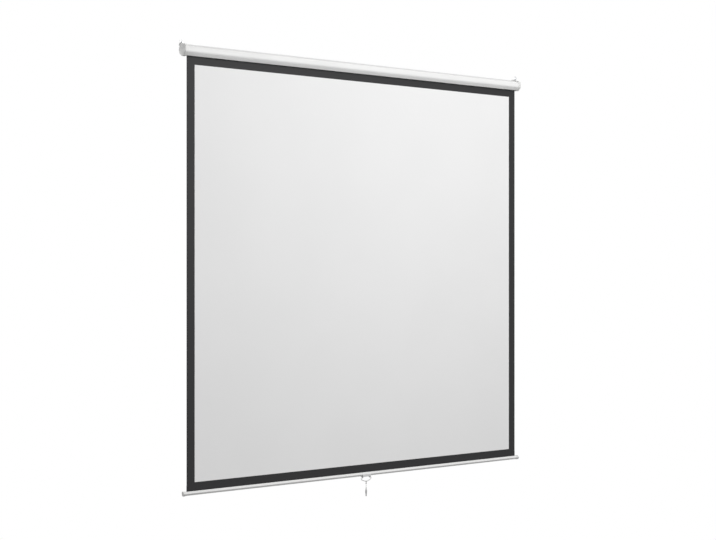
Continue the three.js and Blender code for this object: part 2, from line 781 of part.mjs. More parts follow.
// The bush on the spindle's inner end: it holds the spring's fixed end and steadies the tube.
function springAnchor() {
  const bushRadius = (tubeBore - ANCHOR_GAP) * Math.cos(Math.PI / ROUND_SIDES);
  const from = SPINDLE_REACH - ANCHOR_LENGTH;
  const body = prism(circle(bushRadius, ROUND_SIDES), from, SPINDLE_REACH);
  const shaft = bore(SPINDLE_RADIUS + PLUG_FIT, SMALL_SIDES);
  return geometryOf(cut(body, [prism(shaft, from - OVERRUN, SPINDLE_REACH + OVERRUN)]));
}

// A wound torsion spring: one unbroken helix with a straight leg at each end.
function liftSpring() {
  const leg = 2 * SPRING_WIRE;
  const from = PLUG_FLANGE + PLUG_LENGTH + FACE_GAP + leg;
  const to = SPINDLE_REACH - ANCHOR_LENGTH - FACE_GAP - leg;
  const steps = SPRING_CURLS * SPRING_STEPS;
  const points = [];
  const spokes = [];
  for (let i = 0; i <= steps; i += 1) {
    const angle = (2 * Math.PI * i) / SPRING_STEPS;
    const spoke = new THREE.Vector3(0, Math.cos(angle), Math.sin(angle));
    spokes.push(spoke);
    points.push(spoke.clone().multiplyScalar(SPRING_RADIUS).setX(from + ((to - from) * i) / steps));
  }
  points.unshift(points[0].clone().setX(from - leg));
  points.push(points.at(-1).clone().setX(to + leg));
  spokes.unshift(spokes[0]);
  spokes.push(spokes.at(-1));
  const pitch = (to - from) / SPRING_CURLS;
  console.log(`lift spring: ${SPRING_CURLS} curls, least gap ${(pitch - 2 * SPRING_WIRE).toFixed(2)} mm`);
  return tube(points, spokes, SPRING_WIRE, SPRING_SIDES, false);
}

// The pawls and their pins lie on opposite sides of the axis, half a turn apart.
function pawlSet(letter, turn) {
  const group = groupAt(0, 0, 0, [
    piece(`pawl_${letter}`, pawl(), finishes.steel(), 0, 0, PAWL_ORBIT),
    piece(`pawl_pin_${letter}`, pawlPin(), finishes.screw(), 0, 0, PAWL_ORBIT),
  ]);
  group.rotation.x = turn;
  return group;
}

// The roller's left end with its lock and spring, about the flange's outer face.
function lockingEnd() {
  return groupAt(-flangeFace, axisY, axisZ, [
    piece("spring_plug", springPlug(), finishes.nylon()),
    piece("spindle", spindle(), finishes.steel()),
    piece("ratchet_collar", ratchetCollar(), finishes.steel()),
    piece("spindle_spacer", spacer(-pawlOuter - 2 * FACE_GAP - PAWL_PIN_HEAD_HEIGHT), finishes.nylon()),
    piece("spring_anchor", springAnchor(), finishes.nylon()),
    piece("lift_spring", liftSpring(), finishes.spring()),
    pawlSet("a", 0),
    pawlSet("b", Math.PI),
  ]);
}

function idleEnd() {
  const pin = prismGeometry(circle(SPINDLE_RADIUS, SMALL_SIDES), -plateReach(), IDLE_PIN_GRIP);
  const group = groupAt(flangeFace, axisY, axisZ, [
    piece("idle_plug", idlePlug(), finishes.nylon()),
    piece("idle_pin", pin, finishes.steel()),
    piece("idle_spacer", spacer(-FACE_GAP), finishes.nylon()),
  ]);
  group.scale.x = -1;
  return group;
}

// The cloth hangs from the roller's front side and ends on the hem rod inside the bar.
function cloth() {
  const top = axisZ;
  const bottom = barTop - ROD_DEPTH + ROD_RADIUS + FACE_GAP;
  const sheet = prismGeometry(
    rectangle(-CLOTH_THICKNESS / 2, bottom, CLOTH_THICKNESS / 2, top),
    -halfWidth,
    halfWidth,
  );
  const front = -CLOTH_SETBACK - CLOTH_THICKNESS / 2;
  const frame = new THREE.Shape(rectangle(-halfWidth, bottom, halfWidth, top));
  const clearHalf = halfWidth - BORDER_WIDTH;
  const clearTop = casingBottom - BORDER_WIDTH;
  const clearBottom = barTop + BORDER_WIDTH;
  frame.holes.push(new THREE.Path(rectangle(-clearHalf, clearBottom, clearHalf, clearTop)));
  const film = new THREE.ExtrudeGeometry(frame, { depth: BORDER_FILM, bevelEnabled: false });
  film.rotateX(Math.PI / 2);
  return [
    piece("screen_cloth", sheet, finishes.cloth(), 0, -CLOTH_SETBACK, 0),
    piece("black_border", film, finishes.border(), 0, front, 0),
  ];
}

function rivetHoles() {
  const radius = RIVET_RADIUS + RIVET_GAP;
  return [-RIVET_SPREAD, RIVET_SPREAD].map((x) => {
    const hole = new THREE.CylinderGeometry(radius, radius, BAR_HEIGHT, SMALL_SIDES);
    return solidOf(hole.rotateX(Math.PI / 2).translate(x, -RIVET_AHEAD, -BAR_HEIGHT));
  });
}

// A hollow extrusion with a slot on top, a round pocket under it for the hem rod and a web.
function bottomBar() {
  const wide = barEnd + OVERRUN;
  const pocketRadius = ROD_RADIUS + ROD_POCKET_GAP;
  const web = rectangle(-BAR_WALL / 2, BAR_WALL / 2 - BAR_HEIGHT, BAR_WALL / 2, -ROD_DEPTH - ROD_RADIUS);
  const hollow = rounded(insetCorners(barSection, BAR_WALL), CUP_STEPS);
  const shell = cut(prism(rounded(barSection, CUP_STEPS), -barEnd, barEnd), [prism(hollow, -wide, wide)]);
  const body = join([
    shell,
    prism(circle(pocketRadius + BAR_WALL, ROUND_SIDES, 0, -ROD_DEPTH), -barEnd, barEnd),
    prism(web, -barEnd, barEnd),
  ]);
  const cutters = [
    prism(circle(pocketRadius, ROUND_SIDES, 0, -ROD_DEPTH), -wide, wide),
    prism(rectangle(-BAR_SLOT_HALF, -ROD_DEPTH, BAR_SLOT_HALF, OVERRUN), -wide, wide),
    ...rivetHoles(),
  ];
  return geometryOf(cut(body, cutters));
}

function barCap() {
  const outside = insetCorners(barSection, -BAR_CAP_SKIN);
  const block = roundedBlock(outside, BAR_CAP_LENGTH, BAR_CAP_EDGE, BAR_CAP_EDGE, CUP_STEPS);
  const inside = rounded(insetCorners(barSection, -BAR_CAP_FIT), CUP_STEPS);
  return geometryOf(cut(block, [prism(inside, -BAR_CAP_LENGTH - OVERRUN, FACE_GAP - BAR_INSET)]));
}

// A saddle under the bar's front slope, with an ear at each end for the handle.
function handleBracket() {
  const bottom = -BAR_HEIGHT - BRACKET_BASE;
  const saddle = [
    [BRACKET_REAR, bottom, BRACKET_CORNER],
    [BRACKET_REAR, BRACKET_RISE - BAR_HEIGHT, BRACKET_CORNER],
    [-BRACKET_FRONT, BRACKET_RISE - BAR_HEIGHT, BRACKET_CORNER],
    [-BRACKET_FRONT, bottom, BRACKET_CORNER],
  ];
  const ear = capsule([-EAR_AHEAD, bottom], [-EAR_AHEAD, -BAR_HEIGHT - EAR_DROP], EAR_RADIUS);
  const ears = [-BRACKET_HALF, BRACKET_HALF - EAR_WIDTH].map((x) => prism(ear, x, x + EAR_WIDTH));
  const wide = BRACKET_HALF + OVERRUN;
  const pivot = bore(BAIL_RADIUS + BAIL_PLAY, SMALL_SIDES, -EAR_AHEAD, -BAR_HEIGHT - EAR_DROP);
  const barRoom = prism(rounded(insetCorners(barSection, -FACE_GAP), CUP_STEPS), -wide, wide);
  const body = join([prism(rounded(saddle, CUP_STEPS), -BRACKET_HALF, BRACKET_HALF), ...ears]);
  return geometryOf(cut(body, [barRoom, prism(pivot, -wide, wide), ...rivetHoles()]));
}

// A rivet from below, with its head under the bracket and its tail inside the bar.
function rivet() {
  const bottom = -BAR_HEIGHT - BRACKET_BASE;
  const profile = [
    [0, BAR_WALL + RIVET_TAIL - BAR_HEIGHT],
    [RIVET_RADIUS, BAR_WALL + RIVET_TAIL - BAR_HEIGHT],
    [RIVET_RADIUS, bottom],
    [RIVET_HEAD_RADIUS, bottom],
    [RIVET_HEAD_RADIUS / 2, bottom - RIVET_HEAD_HEIGHT],
    [0, bottom - RIVET_HEAD_HEIGHT],
  ];
  return turnedGeometry(profile, SMALL_SIDES);
}

// A loop of thick wire whose turned-in ends lie in the bracket's ears, in the plane of X and Z.
function pullHandle() {
  const half = BAIL_PATH_SHARES.map(([x, z]) => new THREE.Vector3(x * BAIL_HALF, 0, z * BAIL_DROP));
  const other = half.map(({ x, z }) => new THREE.Vector3(-x, 0, z)).reverse();
  const middle = new THREE.Vector3(0, 0, -BAIL_DROP);
  const path = new THREE.CatmullRomCurve3([...half, middle, ...other], false, "centripetal");
  const section = new THREE.Shape(circle(BAIL_RADIUS, WIRE_SIDES));
  return new THREE.ExtrudeGeometry(section, { steps: BAIL_STEPS, extrudePath: path });
}

// The cord's knot: a loop round the handle's middle and the knot below it, about the handle.
function cordKnot() {
  const loopRadius = BAIL_RADIUS + CORD_GAP + CORD_RADIUS;
  const loop = new THREE.TorusGeometry(loopRadius, CORD_RADIUS, WIRE_SIDES, SMALL_SIDES);
  const profile = KNOT_PROFILE_SHARES.map(([radius, height]) => [
    radius * KNOT_RADIUS,
    -loopRadius - height * KNOT_LENGTH,
  ]);
  const knot = solidOf(turnedGeometry(profile, SMALL_SIDES));
  return geometryOf(solidOf(loop.rotateY(Math.PI / 2)).add(knot));
}

function pullCord(top, bottom) {
  const path = new THREE.LineCurve3(new THREE.Vector3(0, 0, top), new THREE.Vector3(0, 0, bottom));
  const section = new THREE.Shape(circle(CORD_RADIUS, WIRE_SIDES));
  return new THREE.ExtrudeGeometry(section, { steps: WIRE_SIDES / 2, extrudePath: path });
}

function pullToggle() {
  const profile = TOGGLE_PROFILE_SHARES.map(([radius, height]) => [
    radius * TOGGLE_RADIUS,
    -height * TOGGLE_LENGTH,
  ]);
  return turnedGeometry(profile, ROUND_SIDES / 2);
}

// What hangs from the middle of the handle, about the wire that the loop goes round.
function cordSet() {
  const knotEnd = -BAIL_RADIUS - CORD_GAP - CORD_RADIUS - KNOT_LENGTH;
  const cordTop = knotEnd - CORD_GAP;
  const cordEnd = cordTop - CORD_FREE;
  return groupAt(0, 0, -BAIL_DROP, [
    piece("cord_knot", cordKnot(), finishes.cord()),
    piece("pull_cord", pullCord(cordTop, cordEnd), finishes.cord()),
    piece("pull_toggle", pullToggle(), finishes.toggle(), 0, 0, cordEnd - CORD_GAP),
  ]);
}

// Everything that rises with the bar, about the middle of the bar's slot.
function barSet() {
  const rod = prismGeometry(circle(ROD_RADIUS, SMALL_SIDES, 0, -ROD_DEPTH), -barEnd, barEnd);
  const capAt = (name, side) => {
    const cap = piece(`bar_cap_${name}`, barCap(), finishes.cap(), side * endHalf);
    cap.scale.x = side;
    return cap;
  };
  return groupAt(0, -CLOTH_SETBACK, barTop, [
    piece("bottom_bar", bottomBar(), finishes.bar()),
    piece("hem_rod", rod, finishes.nylon()),
    capAt("left", -1),
    capAt("right", 1),
    piece("handle_bracket", handleBracket(), finishes.handle()),
    piece("bracket_rivet_left", rivet(), finishes.screw(), -RIVET_SPREAD, -RIVET_AHEAD),
    piece("bracket_rivet_right", rivet(), finishes.screw(), RIVET_SPREAD, -RIVET_AHEAD),
    groupAt(0, -EAR_AHEAD, -BAR_HEIGHT - EAR_DROP, [
      piece("pull_handle", pullHandle(), finishes.handle()),
      cordSet(),
    ]),
  ]);
}

function screen() {
  const seatAt = (points) => points.map(({ x, y }) => new THREE.Vector2(x + axisY, y + axisZ));
  const tangSeat = seatAt(tangOutline(PLUG_FIT));
  const pinSeat = seatAt(bore(SPINDLE_RADIUS + PLUG_FIT, SMALL_SIDES));
  const leftEnd = casingEnd("left", tangSeat);
  leftEnd.position.x = -endHalf;
  leftEnd.scale.x = -1;
  const roller = groupAt(0, axisY, axisZ, [rollerTube(), clothTurns()]);
  const whole = new THREE.Group();
  whole.add(casing(), leftEnd, casingEnd("right", pinSeat));
  whole.add(roller, lockingEnd(), idleEnd(), ...cloth(), barSet());
  return whole;
}

export default screen();
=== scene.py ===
"""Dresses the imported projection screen: fine surfaces and finishes for every piece, a camera and a
plain stage.

Lengths are metres, +X is to the right seen from the front, +Y points at the wall and +Z is up.
"""

import json
import math
from functools import cache

import bmesh
import bpy
import numpy as np
from bpy.props import FloatProperty, FloatVectorProperty, IntProperty, PointerProperty
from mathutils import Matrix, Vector


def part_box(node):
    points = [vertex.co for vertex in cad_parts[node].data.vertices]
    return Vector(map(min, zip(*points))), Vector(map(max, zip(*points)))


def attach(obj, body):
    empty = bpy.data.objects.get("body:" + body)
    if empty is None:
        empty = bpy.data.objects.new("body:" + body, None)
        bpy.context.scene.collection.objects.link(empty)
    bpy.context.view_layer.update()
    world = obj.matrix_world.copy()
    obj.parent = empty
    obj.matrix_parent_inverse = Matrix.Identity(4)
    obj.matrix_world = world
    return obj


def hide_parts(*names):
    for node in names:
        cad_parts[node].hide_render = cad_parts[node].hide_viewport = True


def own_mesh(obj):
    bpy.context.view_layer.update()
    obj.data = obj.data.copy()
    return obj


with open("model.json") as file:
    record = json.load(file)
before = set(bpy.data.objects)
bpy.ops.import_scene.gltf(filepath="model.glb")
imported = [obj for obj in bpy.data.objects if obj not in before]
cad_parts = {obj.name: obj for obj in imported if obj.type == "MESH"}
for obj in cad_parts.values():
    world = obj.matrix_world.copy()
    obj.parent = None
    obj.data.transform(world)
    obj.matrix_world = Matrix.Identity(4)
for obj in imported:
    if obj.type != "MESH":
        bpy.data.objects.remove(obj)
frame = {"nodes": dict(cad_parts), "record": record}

bl_info = {
    "name": "Projection Screen",
    "version": (1, 0, 0),
    "blender": (4, 5, 0),
    "location": "3D View > Sidebar > Screen",
    "description": "Builds the visible surfaces and finishes of a pull-down projection screen",
    "category": "Mesh",
}


# The housing's section. Its top slopes down from a ridge, which is higher on the caps.

TOP_SLOPE = math.radians(18)
HOUSING_DEPTH = 0.069
HOUSING_FOOT = -0.043
CAP_RIDGE = 0.027
CASING_RIDGE = 0.024
CHIN_RISE = 0.0175
CHIN_BACK = 0.018


def top_height(ridge, y, sunk=0.0):
    """Height of the sloping top at depth y, sunk square to itself: ridge + y tan s - sunk / cos s."""
    return ridge + y * math.tan(TOP_SLOPE) - sunk / math.cos(TOP_SLOPE)


def housing(ridge):
    """Corners as [depth, height, corner radius], anticlockwise seen from +X: belly, ridge, brow
    and both ends of the flat chin."""
    return np.array([
        [0, HOUSING_FOOT, 0.036],
        [0, ridge, 0.012],
        [-HOUSING_DEPTH, top_height(ridge, -HOUSING_DEPTH), 0.009],
        [-HOUSING_DEPTH, HOUSING_FOOT + CHIN_RISE, 0.016],
        [CHIN_BACK - HOUSING_DEPTH, HOUSING_FOOT, 0.006],
    ])


# Casing and end caps

END_HALF = 1.02065
CAP_SKIN = 0.002
CAP_FLOOR = 0.00265
CAP_LENGTH = 0.0155
CAP_EDGE = 0.002
CAP_TURN = 0.005
PLATE = 0.0015
FIT = 0.0003  # room between two pieces that fit together
CUT_PAST = 0.001  # how far a cutter goes past the face it opens
PORT_SUNK = 0.0059
PORT_RADIUS = 0.0034
PORT_BORE = 0.00165
SCREW_PORTS = [(-0.012, top_height(CASING_RIDGE, -0.012, PORT_SUNK)), (PORT_SUNK - HOUSING_DEPTH, -0.008)]
SEAT_DEPTH = 0.0014
RAIL = np.array([[-0.0024, -0.008], [0, -0.008], [0, 0.008], [-0.0024, 0.008]])
HOOK_NOTCH = np.array([
    [0.001, 0.002, 0], [0.001, 0.009, 0], [-0.012, 0.009, 0.0025], [-0.012, 0.002, 0.0025],
])
ROLLER_AXIS = (-0.024475, -0.0095)
LUG_RADIUS = 0.0067
LUG_SLOT = 0.0012
RING_DEPTH = -0.0245
RING_HOLE = (RING_DEPTH, top_height(CAP_RIDGE, RING_DEPTH) + 0.0035)
RING = np.array([[-0.01, 0, 0.0026], [0.01, 0, 0.0026], [0, 0.028, 0.0065]])
RING_SEAM = (0.0078, 0.0062)
SEAM_WIDTH = 0.0004
SEAM_DENT = 0.14
CASING_FOOT = -0.041

# Cloth, its turns on the roller and its hem, whose heights are from the bar's top

CLOTH_PLANE = -0.0385
CLOTH_IN_BAR = 0.0024
CLOTH_GRID = 97
TURNS_WALL = 0.00025
TURN_GROWTH = 0.00012
HEM_LOW, HEM_HIGH = -0.0012, 0.026
HEM_HALF = 0.0006
HEM_OVER = 0.0003
WEAVE = 0.0009

# Bottom bar, with the corners of its section about the middle of its slot

BAR_TOP = -2.041
BAR = np.array([
    [0.0034, -0.018, 0.0036],
    [0.0074, -0.008, 0.0032],
    [0.0046, 0, 0.0012],
    [-0.0046, 0, 0.0012],
    [-0.0135, -0.008, 0.0032],
    [-0.006, -0.018, 0.0036],
])
BAR_HALF = 1.01845
BAR_SLOT_HALF = 0.0012
ROD_DEPTH = 0.0052
POCKET = 0.0032
BAR_CAP_FLOOR = 0.0019
BAR_CAP_LENGTH = 0.012
BAR_CAP_SKIN = 0.0016
BAR_CAP_EDGE = 0.001
BAR_CAP_BREAK = 0.0002

# Bracket and its rivets, handle, cord and toggle. Shares are of a half width and a height.

EAR = (-0.0095, -0.023)
EAR_RADIUS = 0.0046
EAR_HOLE = 0.0027
EAR_WIDTH = 0.005
SADDLE_HALF = 0.025
SADDLE_FOOT = -0.0207
SADDLE = np.array([
    [0.0025, SADDLE_FOOT, 0.0015], [0.0025, -0.009, 0.0015],
    [-0.016, -0.009, 0.0015], [-0.016, SADDLE_FOOT, 0.0015],
])
RIVET_OUT = 0.01
RIVET_DEPTH = -0.0016
RIVET_TOP = -0.0153
RIVET_SHANK = 0.0015
RIVET_HEAD = 0.003
RIVET_RIM = 0.0002
RIVET_DOME = 0.001
HANDLE_HALF = 0.03
HANDLE_DROP = 0.022
HANDLE_WIRE = 0.0022
HANDLE_EDGE = 0.0005
HANDLE_SHARES = np.array([
    [0.61, 0], [0.72, 0], [0.84, -0.01], [0.95, -0.1], [1, -0.27],
    [0.94, -0.47], [0.76, -0.65], [0.5, -0.79], [0.22, -0.93], [0, -1],
])
KNOT_DROP = 0.0043
CORD_IN_TOGGLE = 0.0042
TOGGLE_TOP = -2.1166
TOGGLE_LENGTH = 0.043
TOGGLE_RADIUS = 0.0046
TOGGLE_SHARES = np.array([
    [0.24, 0.12], [0.24, 0.005], [0.3, 0], [0.42, 0.004], [0.5, 0.02], [0.51, 0.05], [0.49, 0.12],
    [0.6, 0.2], [0.78, 0.3], [0.93, 0.38], [1, 0.45], [0.96, 0.53], [0.86, 0.62], [0.74, 0.72],
    [0.64, 0.82], [0.65, 0.88], [0.7, 0.93], [0.68, 0.97], [0.58, 1], [0.4, 1], [0.36, 0.99],
    [0.36, 0.955], [0, 0.955],
])

# Stage: the camera, each lamp with the point it is aimed at, and the floor's disc

CAMERA_PLACE = (-3.6894, -5.303, -1.0239)
CAMERA_TURN = (math.radians(90), 0, math.radians(-34.706))
SENSOR_WIDTH = 36
LAMPS = {
    "key": ((0.65, -4.3, 0.9), (0.3, 0, -0.45)),
    "fill": ((-2.2, -3.8, -2.1), (-0.3, 0, -1.8)),
    "rear": ((-1.8, 4.4, 0.2), (0, 0, -0.9)),
    "side": ((-5.0, 0.1, -0.3), (-1.0, 0, -0.5)),
}
WHITE = (1, 1, 1, 1)
FLOOR_RADIUS = 30
FLOOR_FADE = (0.9, 2.3)
FLOOR_TONE = 0.97

MERGE_WITHIN = 2e-6
SIDES = (("left", -1), ("right", 1))


# Sizes, colours and the stage, as a user sees them in the sidebar

def length(name, default, text):
    return FloatProperty(name=name, default=default, description=text, unit="LENGTH", precision=5, min=0)


def colour(name, default, text):
    return FloatVectorProperty(name=name, default=default, description=text, subtype="COLOR", min=0, max=1)


def level(name, default, text, unit="NONE"):
    return FloatProperty(name=name, default=default, description=text, unit=unit, min=0)


def turns(name, default, text):
    return IntProperty(name=name, default=default, description=text, min=2, max=120)


class ScreenSizes(bpy.types.PropertyGroup):
    """Sizes of the dressed pieces that can be changed without a new frame."""

    cloth_thickness: length("Cloth thickness", 0.00035, "Coated cloth, front to back")
    side_border: length("Side border", 0.0417, "Black border at the left and right of the white field")
    foot_border: length("Foot border", 0.04, "Black border under the white field")
    top_border: length("Top border", 0.0378, "Black border between the casing and the white field")
    ripple: length("Cloth ripple", 0.0003, "Height of the faint ripple that rolled cloth keeps")
    casing_wall: length("Casing wall", 0.0012, "Wall of the casing extrusion")
    slot_half: length("Slot half width", 0.007, "From the cloth to either lip of the casing's slot")
    lip_turn: length("Lip height", 0.004, "How far the slot's lips are turned up")
    edge_round: length("Edge rounding", 0.00025, "Rounding of moulded and sawn edges")
    ring_wire: length("Ring wire", 0.003, "Diameter of the hanging rings' wire")
    cord_diameter: length("Cord diameter", 0.002, "Diameter of the pull cord")
    knot_turns: turns("Knot turns", 3, "Turns round the cord in its knot")
    spring_turns: turns("Spring turns", 104, "Turns of the lift spring")


class ScreenColours(bpy.types.PropertyGroup):
    """Colours of the finishes."""

    enamel: colour("Enamel", (0.865, 0.865, 0.86), "Casing and bottom bar")
    cap: colour("Cap plastic", (0.79, 0.79, 0.78), "End caps of the casing and the bar")
    cloth: colour("Screen surface", (0.88, 0.88, 0.88), "Matt white face of the cloth")
    border: colour("Border", (0.0165, 0.0165, 0.0175), "Black border of the cloth")
    backing: colour("Backing", (0.06, 0.06, 0.062), "Opaque coating on the back of the cloth")
    handle: colour("Handle plastic", (0.84, 0.84, 0.835), "Pull handle")
    # Painted shade: the bracket is the handle's plastic made darker, for the shade under the bar.
    bracket: colour("Bracket plastic", (0.68, 0.68, 0.68), "Bracket under the bar")
    cord: colour("Cord", (0.70, 0.70, 0.69), "Braided pull cord")
    toggle: colour("Toggle plastic", (0.46, 0.46, 0.465), "Toggle at the end of the cord")
    zinc: colour("Zinc", (0.62, 0.63, 0.65), "Plated rings, plates, screws and rivets")
    # Painted shade: the top cap screws are coloured near black to stand for the dark spot at the top back of
    # each cap's end face.
    black_zinc: colour("Black zinc", (0.06, 0.06, 0.063), "Cap screws at the top")
    steel: colour("Steel", (0.50, 0.51, 0.53), "Roller tube, spindle, ratchet and pawls")
    spring: colour("Spring steel", (0.25, 0.26, 0.28), "Oiled lift spring")
    nylon: colour("Nylon", (0.74, 0.73, 0.68), "Plugs, spacers and rods inside")


class StageSettings(bpy.types.PropertyGroup):
    """Camera and lamps."""

    focal_length: level("Focal length", 64.22, "Camera lens in millimetres")
    key_power: level("Key power", 144, "Front lamp, a little above the casing", "POWER")
    fill_power: level("Fill power", 9, "Low lamp at the front left", "POWER")
    rear_power: level("Rear power", 45, "Lamp behind", "POWER")
    side_power: level("Side power", 21, "Lamp at the left", "POWER")
    lamp_size: length("Lamp size", 1.6, "Side of each square lamp")
    sky: level("Sky", 0.445, "Strength of the light from all round")
    ground: level("Ground", 0.13, "Share of light that the floor gives back")
    floor_drop: length("Floor drop", 2.95, "From the casing down to the floor")


def settings():
    scene = bpy.context.scene
    return scene.screen_sizes, scene.screen_colours, scene.screen_stage


# Surfaces worked out as whole arrays

def unit(vectors):
    """Each vector over its own length."""
    return vectors / np.linalg.norm(vectors, axis=-1, keepdims=True)


def quarter(steps):
    """Angles spread evenly over a quarter turn."""
    return np.linspace(0, math.pi / 2, steps)


def inset(corners, distance):
    """Each side of an anticlockwise polygon moves inwards by distance, so a corner moves by
    distance * (n0 + n1) / (1 + n0.n1) for the inward normals n0 and n1 of its two sides."""
    points = corners[:, :2]
    run = unit(np.roll(points, -1, 0) - points)
    normal = np.stack([-run[:, 1], run[:, 0]], 1)
    before = np.roll(normal, 1, 0)
    moved = points + distance * (normal + before) / (1 + np.sum(normal * before, 1, keepdims=True))
    return np.column_stack([moved, np.maximum(corners[:, 2] - distance, 0)])


def rounded(corners, steps):
    """Each corner becomes an arc about corner + bisector * radius / sin(half angle), which starts
    where the side before touches it and turns evenly to where the side after does."""
    points, radius = corners[:, :2], corners[:, 2:]
    back = unit(np.roll(points, 1, 0) - points)
    ahead = unit(np.roll(points, -1, 0) - points)
    half = np.arccos(np.sum(back * ahead, 1, keepdims=True)) / 2
    centre = points + unit(back + ahead) * radius / np.sin(half)
    start = points + back * radius / np.tan(half) - centre
    side = np.sign(ahead[:, :1] * back[:, 1:] - ahead[:, 1:] * back[:, :1])
    angle = side * (math.pi - 2 * half) * np.linspace(0, 1, steps + 1)
    u = centre[:, :1] + start[:, :1] * np.cos(angle) - start[:, 1:] * np.sin(angle)
    v = centre[:, 1:] + start[:, :1] * np.sin(angle) + start[:, 1:] * np.cos(angle)
    outline = np.stack([u, v], 2).reshape(-1, 2)
    return outline[np.linalg.norm(outline - np.roll(outline, 1, 0), axis=1) > 1e-9]


def circle(radius, sides, centre=(0, 0), start=0.0, turn=math.tau, closed=True):
    """centre + radius * (cos a, sin a) for angles a evenly spaced over a turn."""
    angle = start + np.linspace(0, turn, sides, endpoint=not closed)
    return np.stack([centre[0] + radius * np.cos(angle), centre[1] + radius * np.sin(angle)], 1)


def capsule(first, last, radius, steps=20):
    """A half circle round each of two points, joined by straight sides."""
    heading = math.atan2(last[1] - first[1], last[0] - first[0])
    far = circle(radius, steps + 1, last, heading - math.pi / 2, math.pi, False)
    near = circle(radius, steps + 1, first, heading + math.pi / 2, math.pi, False)
    return np.concatenate([far, near])


def along_x(outline, places):
    """The outline's (depth, height) at each place x, as rows of points (x, depth, height)."""
    places = np.asarray(places, float)
    rows = np.repeat(places[:, None], len(outline), 1)
    return np.concatenate([rows[..., None], np.broadcast_to(outline, (len(places), *outline.shape))], 2)


def turned(profile, sides, axis="z", centre=(0, 0, 0)):
    """A profile of (radius, height) turned about Z, (r cos a, r sin a, h), or about X with h first."""
    angle = np.linspace(0, math.tau, sides + 1)
    u = profile[:, :1] * np.cos(angle)
    v = profile[:, :1] * np.sin(angle)
    w = np.broadcast_to(profile[:, 1:], u.shape)
    return np.stack([u, v, w] if axis == "z" else [w, u, v], 2) + centre


def smooth_line(points, per_span, power=0.0):
    """A cubic between p1 and p2 whose end slopes are those of a Catmull-Rom curve, with d a span's
    length to a power: (p1 - p0)/d0 - (p2 - p0)/(d0 + d1) + (p2 - p1)/d1. A power of a half makes
    the centripetal curve, which has no loops where points are close."""
    points = np.asarray(points, float)
    padded = np.concatenate([2 * points[:1] - points[1:2], points, 2 * points[-1:] - points[-2:-1]])
    span = (np.linalg.norm(np.diff(padded, axis=0), axis=1) ** power)[:, None, None]
    p0, p1, p2, p3 = (padded[i:len(padded) - 3 + i, None] for i in range(4))
    d0, d1, d2 = span[:-2], span[1:-1], span[2:]
    leave = ((p1 - p0) / d0 - (p2 - p0) / (d0 + d1) + (p2 - p1) / d1) * d1
    arrive = ((p2 - p1) / d1 - (p3 - p1) / (d1 + d2) + (p3 - p2) / d2) * d1
    gain = p2 - p1
    t = np.linspace(0, 1, per_span, endpoint=False)[None, :, None]
    curve = p1 + leave * t + (3 * gain - 2 * leave - arrive) * t**2 + (leave + arrive - 2 * gain) * t**3
    return np.concatenate([curve.reshape(-1, points.shape[1]), points[-1:]])


def tube(path, radius, sides, closed=False, reference=(0, 1, 0), domed=False):
    """Rings of path + radius * (side cos a + up sin a), with side square to the path and the
    reference. Domed ends shrink the last rings as a quarter circle does."""
    path = np.asarray(path, float)
    radius = np.broadcast_to(np.asarray(radius, float), (len(path),))
    if domed:
        swing = quarter(6)[:-1]
        first, last = unit(path[0] - path[1]), unit(path[-1] - path[-2])
        beyond = radius[0] * np.cos(swing)[:, None]
        path = np.concatenate([path[0] + first * beyond, path, (path[-1] + last * beyond)[::-1]])
        grown = np.sin(swing)
        radius = np.concatenate([radius[0] * grown, radius, radius[-1] * grown[::-1]])
    ahead = unit(np.roll(path, -1, 0) - np.roll(path, 1, 0) if closed else np.gradient(path, axis=0))
    side = unit(np.cross(ahead, reference))
    up = np.cross(side, ahead)
    angle = np.linspace(0, math.tau, sides + 1)[None, :, None]
    out = side[:, None] * np.cos(angle) + up[:, None] * np.sin(angle)
    rings = path[:, None] + radius[:, None, None] * out
    return np.concatenate([rings, rings[:1]]) if closed else rings


def travelled(path):
    """Length along a path to each of its points."""
    steps = np.linalg.norm(np.diff(np.asarray(path, float), axis=0), axis=1)
    return np.concatenate([[0.0], np.cumsum(steps)])


# Meshes from those surfaces

def skin(grid, ends=True, uv=None):
    """Points, quads and outline faces of a grid: each point is joined to the next along both ways."""
    rows, columns = grid.shape[:2]
    index = np.arange(rows * columns).reshape(rows, columns)
    quads = np.stack([index[:-1, :-1], index[:-1, 1:], index[1:, 1:], index[1:, :-1]], 2).reshape(-1, 4)
    faces = quads.tolist()
    if ends:
        faces += [index[0, ::-1].tolist(), index[-1].tolist()]
    return grid.reshape(-1, 3), faces, None if uv is None else uv.reshape(-1, 2)


def ring_of(outline):
    """The outline with its first point repeated, so that a grid of it closes round."""
    return np.concatenate([outline, outline[:1]])


def prism(outline, places):
    """A solid bar: one outline at each place along X, closed at both ends."""
    return skin(along_x(ring_of(outline), places))


def lofted(lines, places):
    """A grid whose rows are lines of (depth, height), each at its own place along X."""
    return np.stack([along_x(line, [x])[0] for line, x in zip(lines, places)])


def pipe(outer, inner, low, high):
    """Along the outer line from low to high, over the end, back along the inner line and closed."""
    return skin(lofted([outer, outer, inner, inner, outer], [low, high, high, low, low]), False)


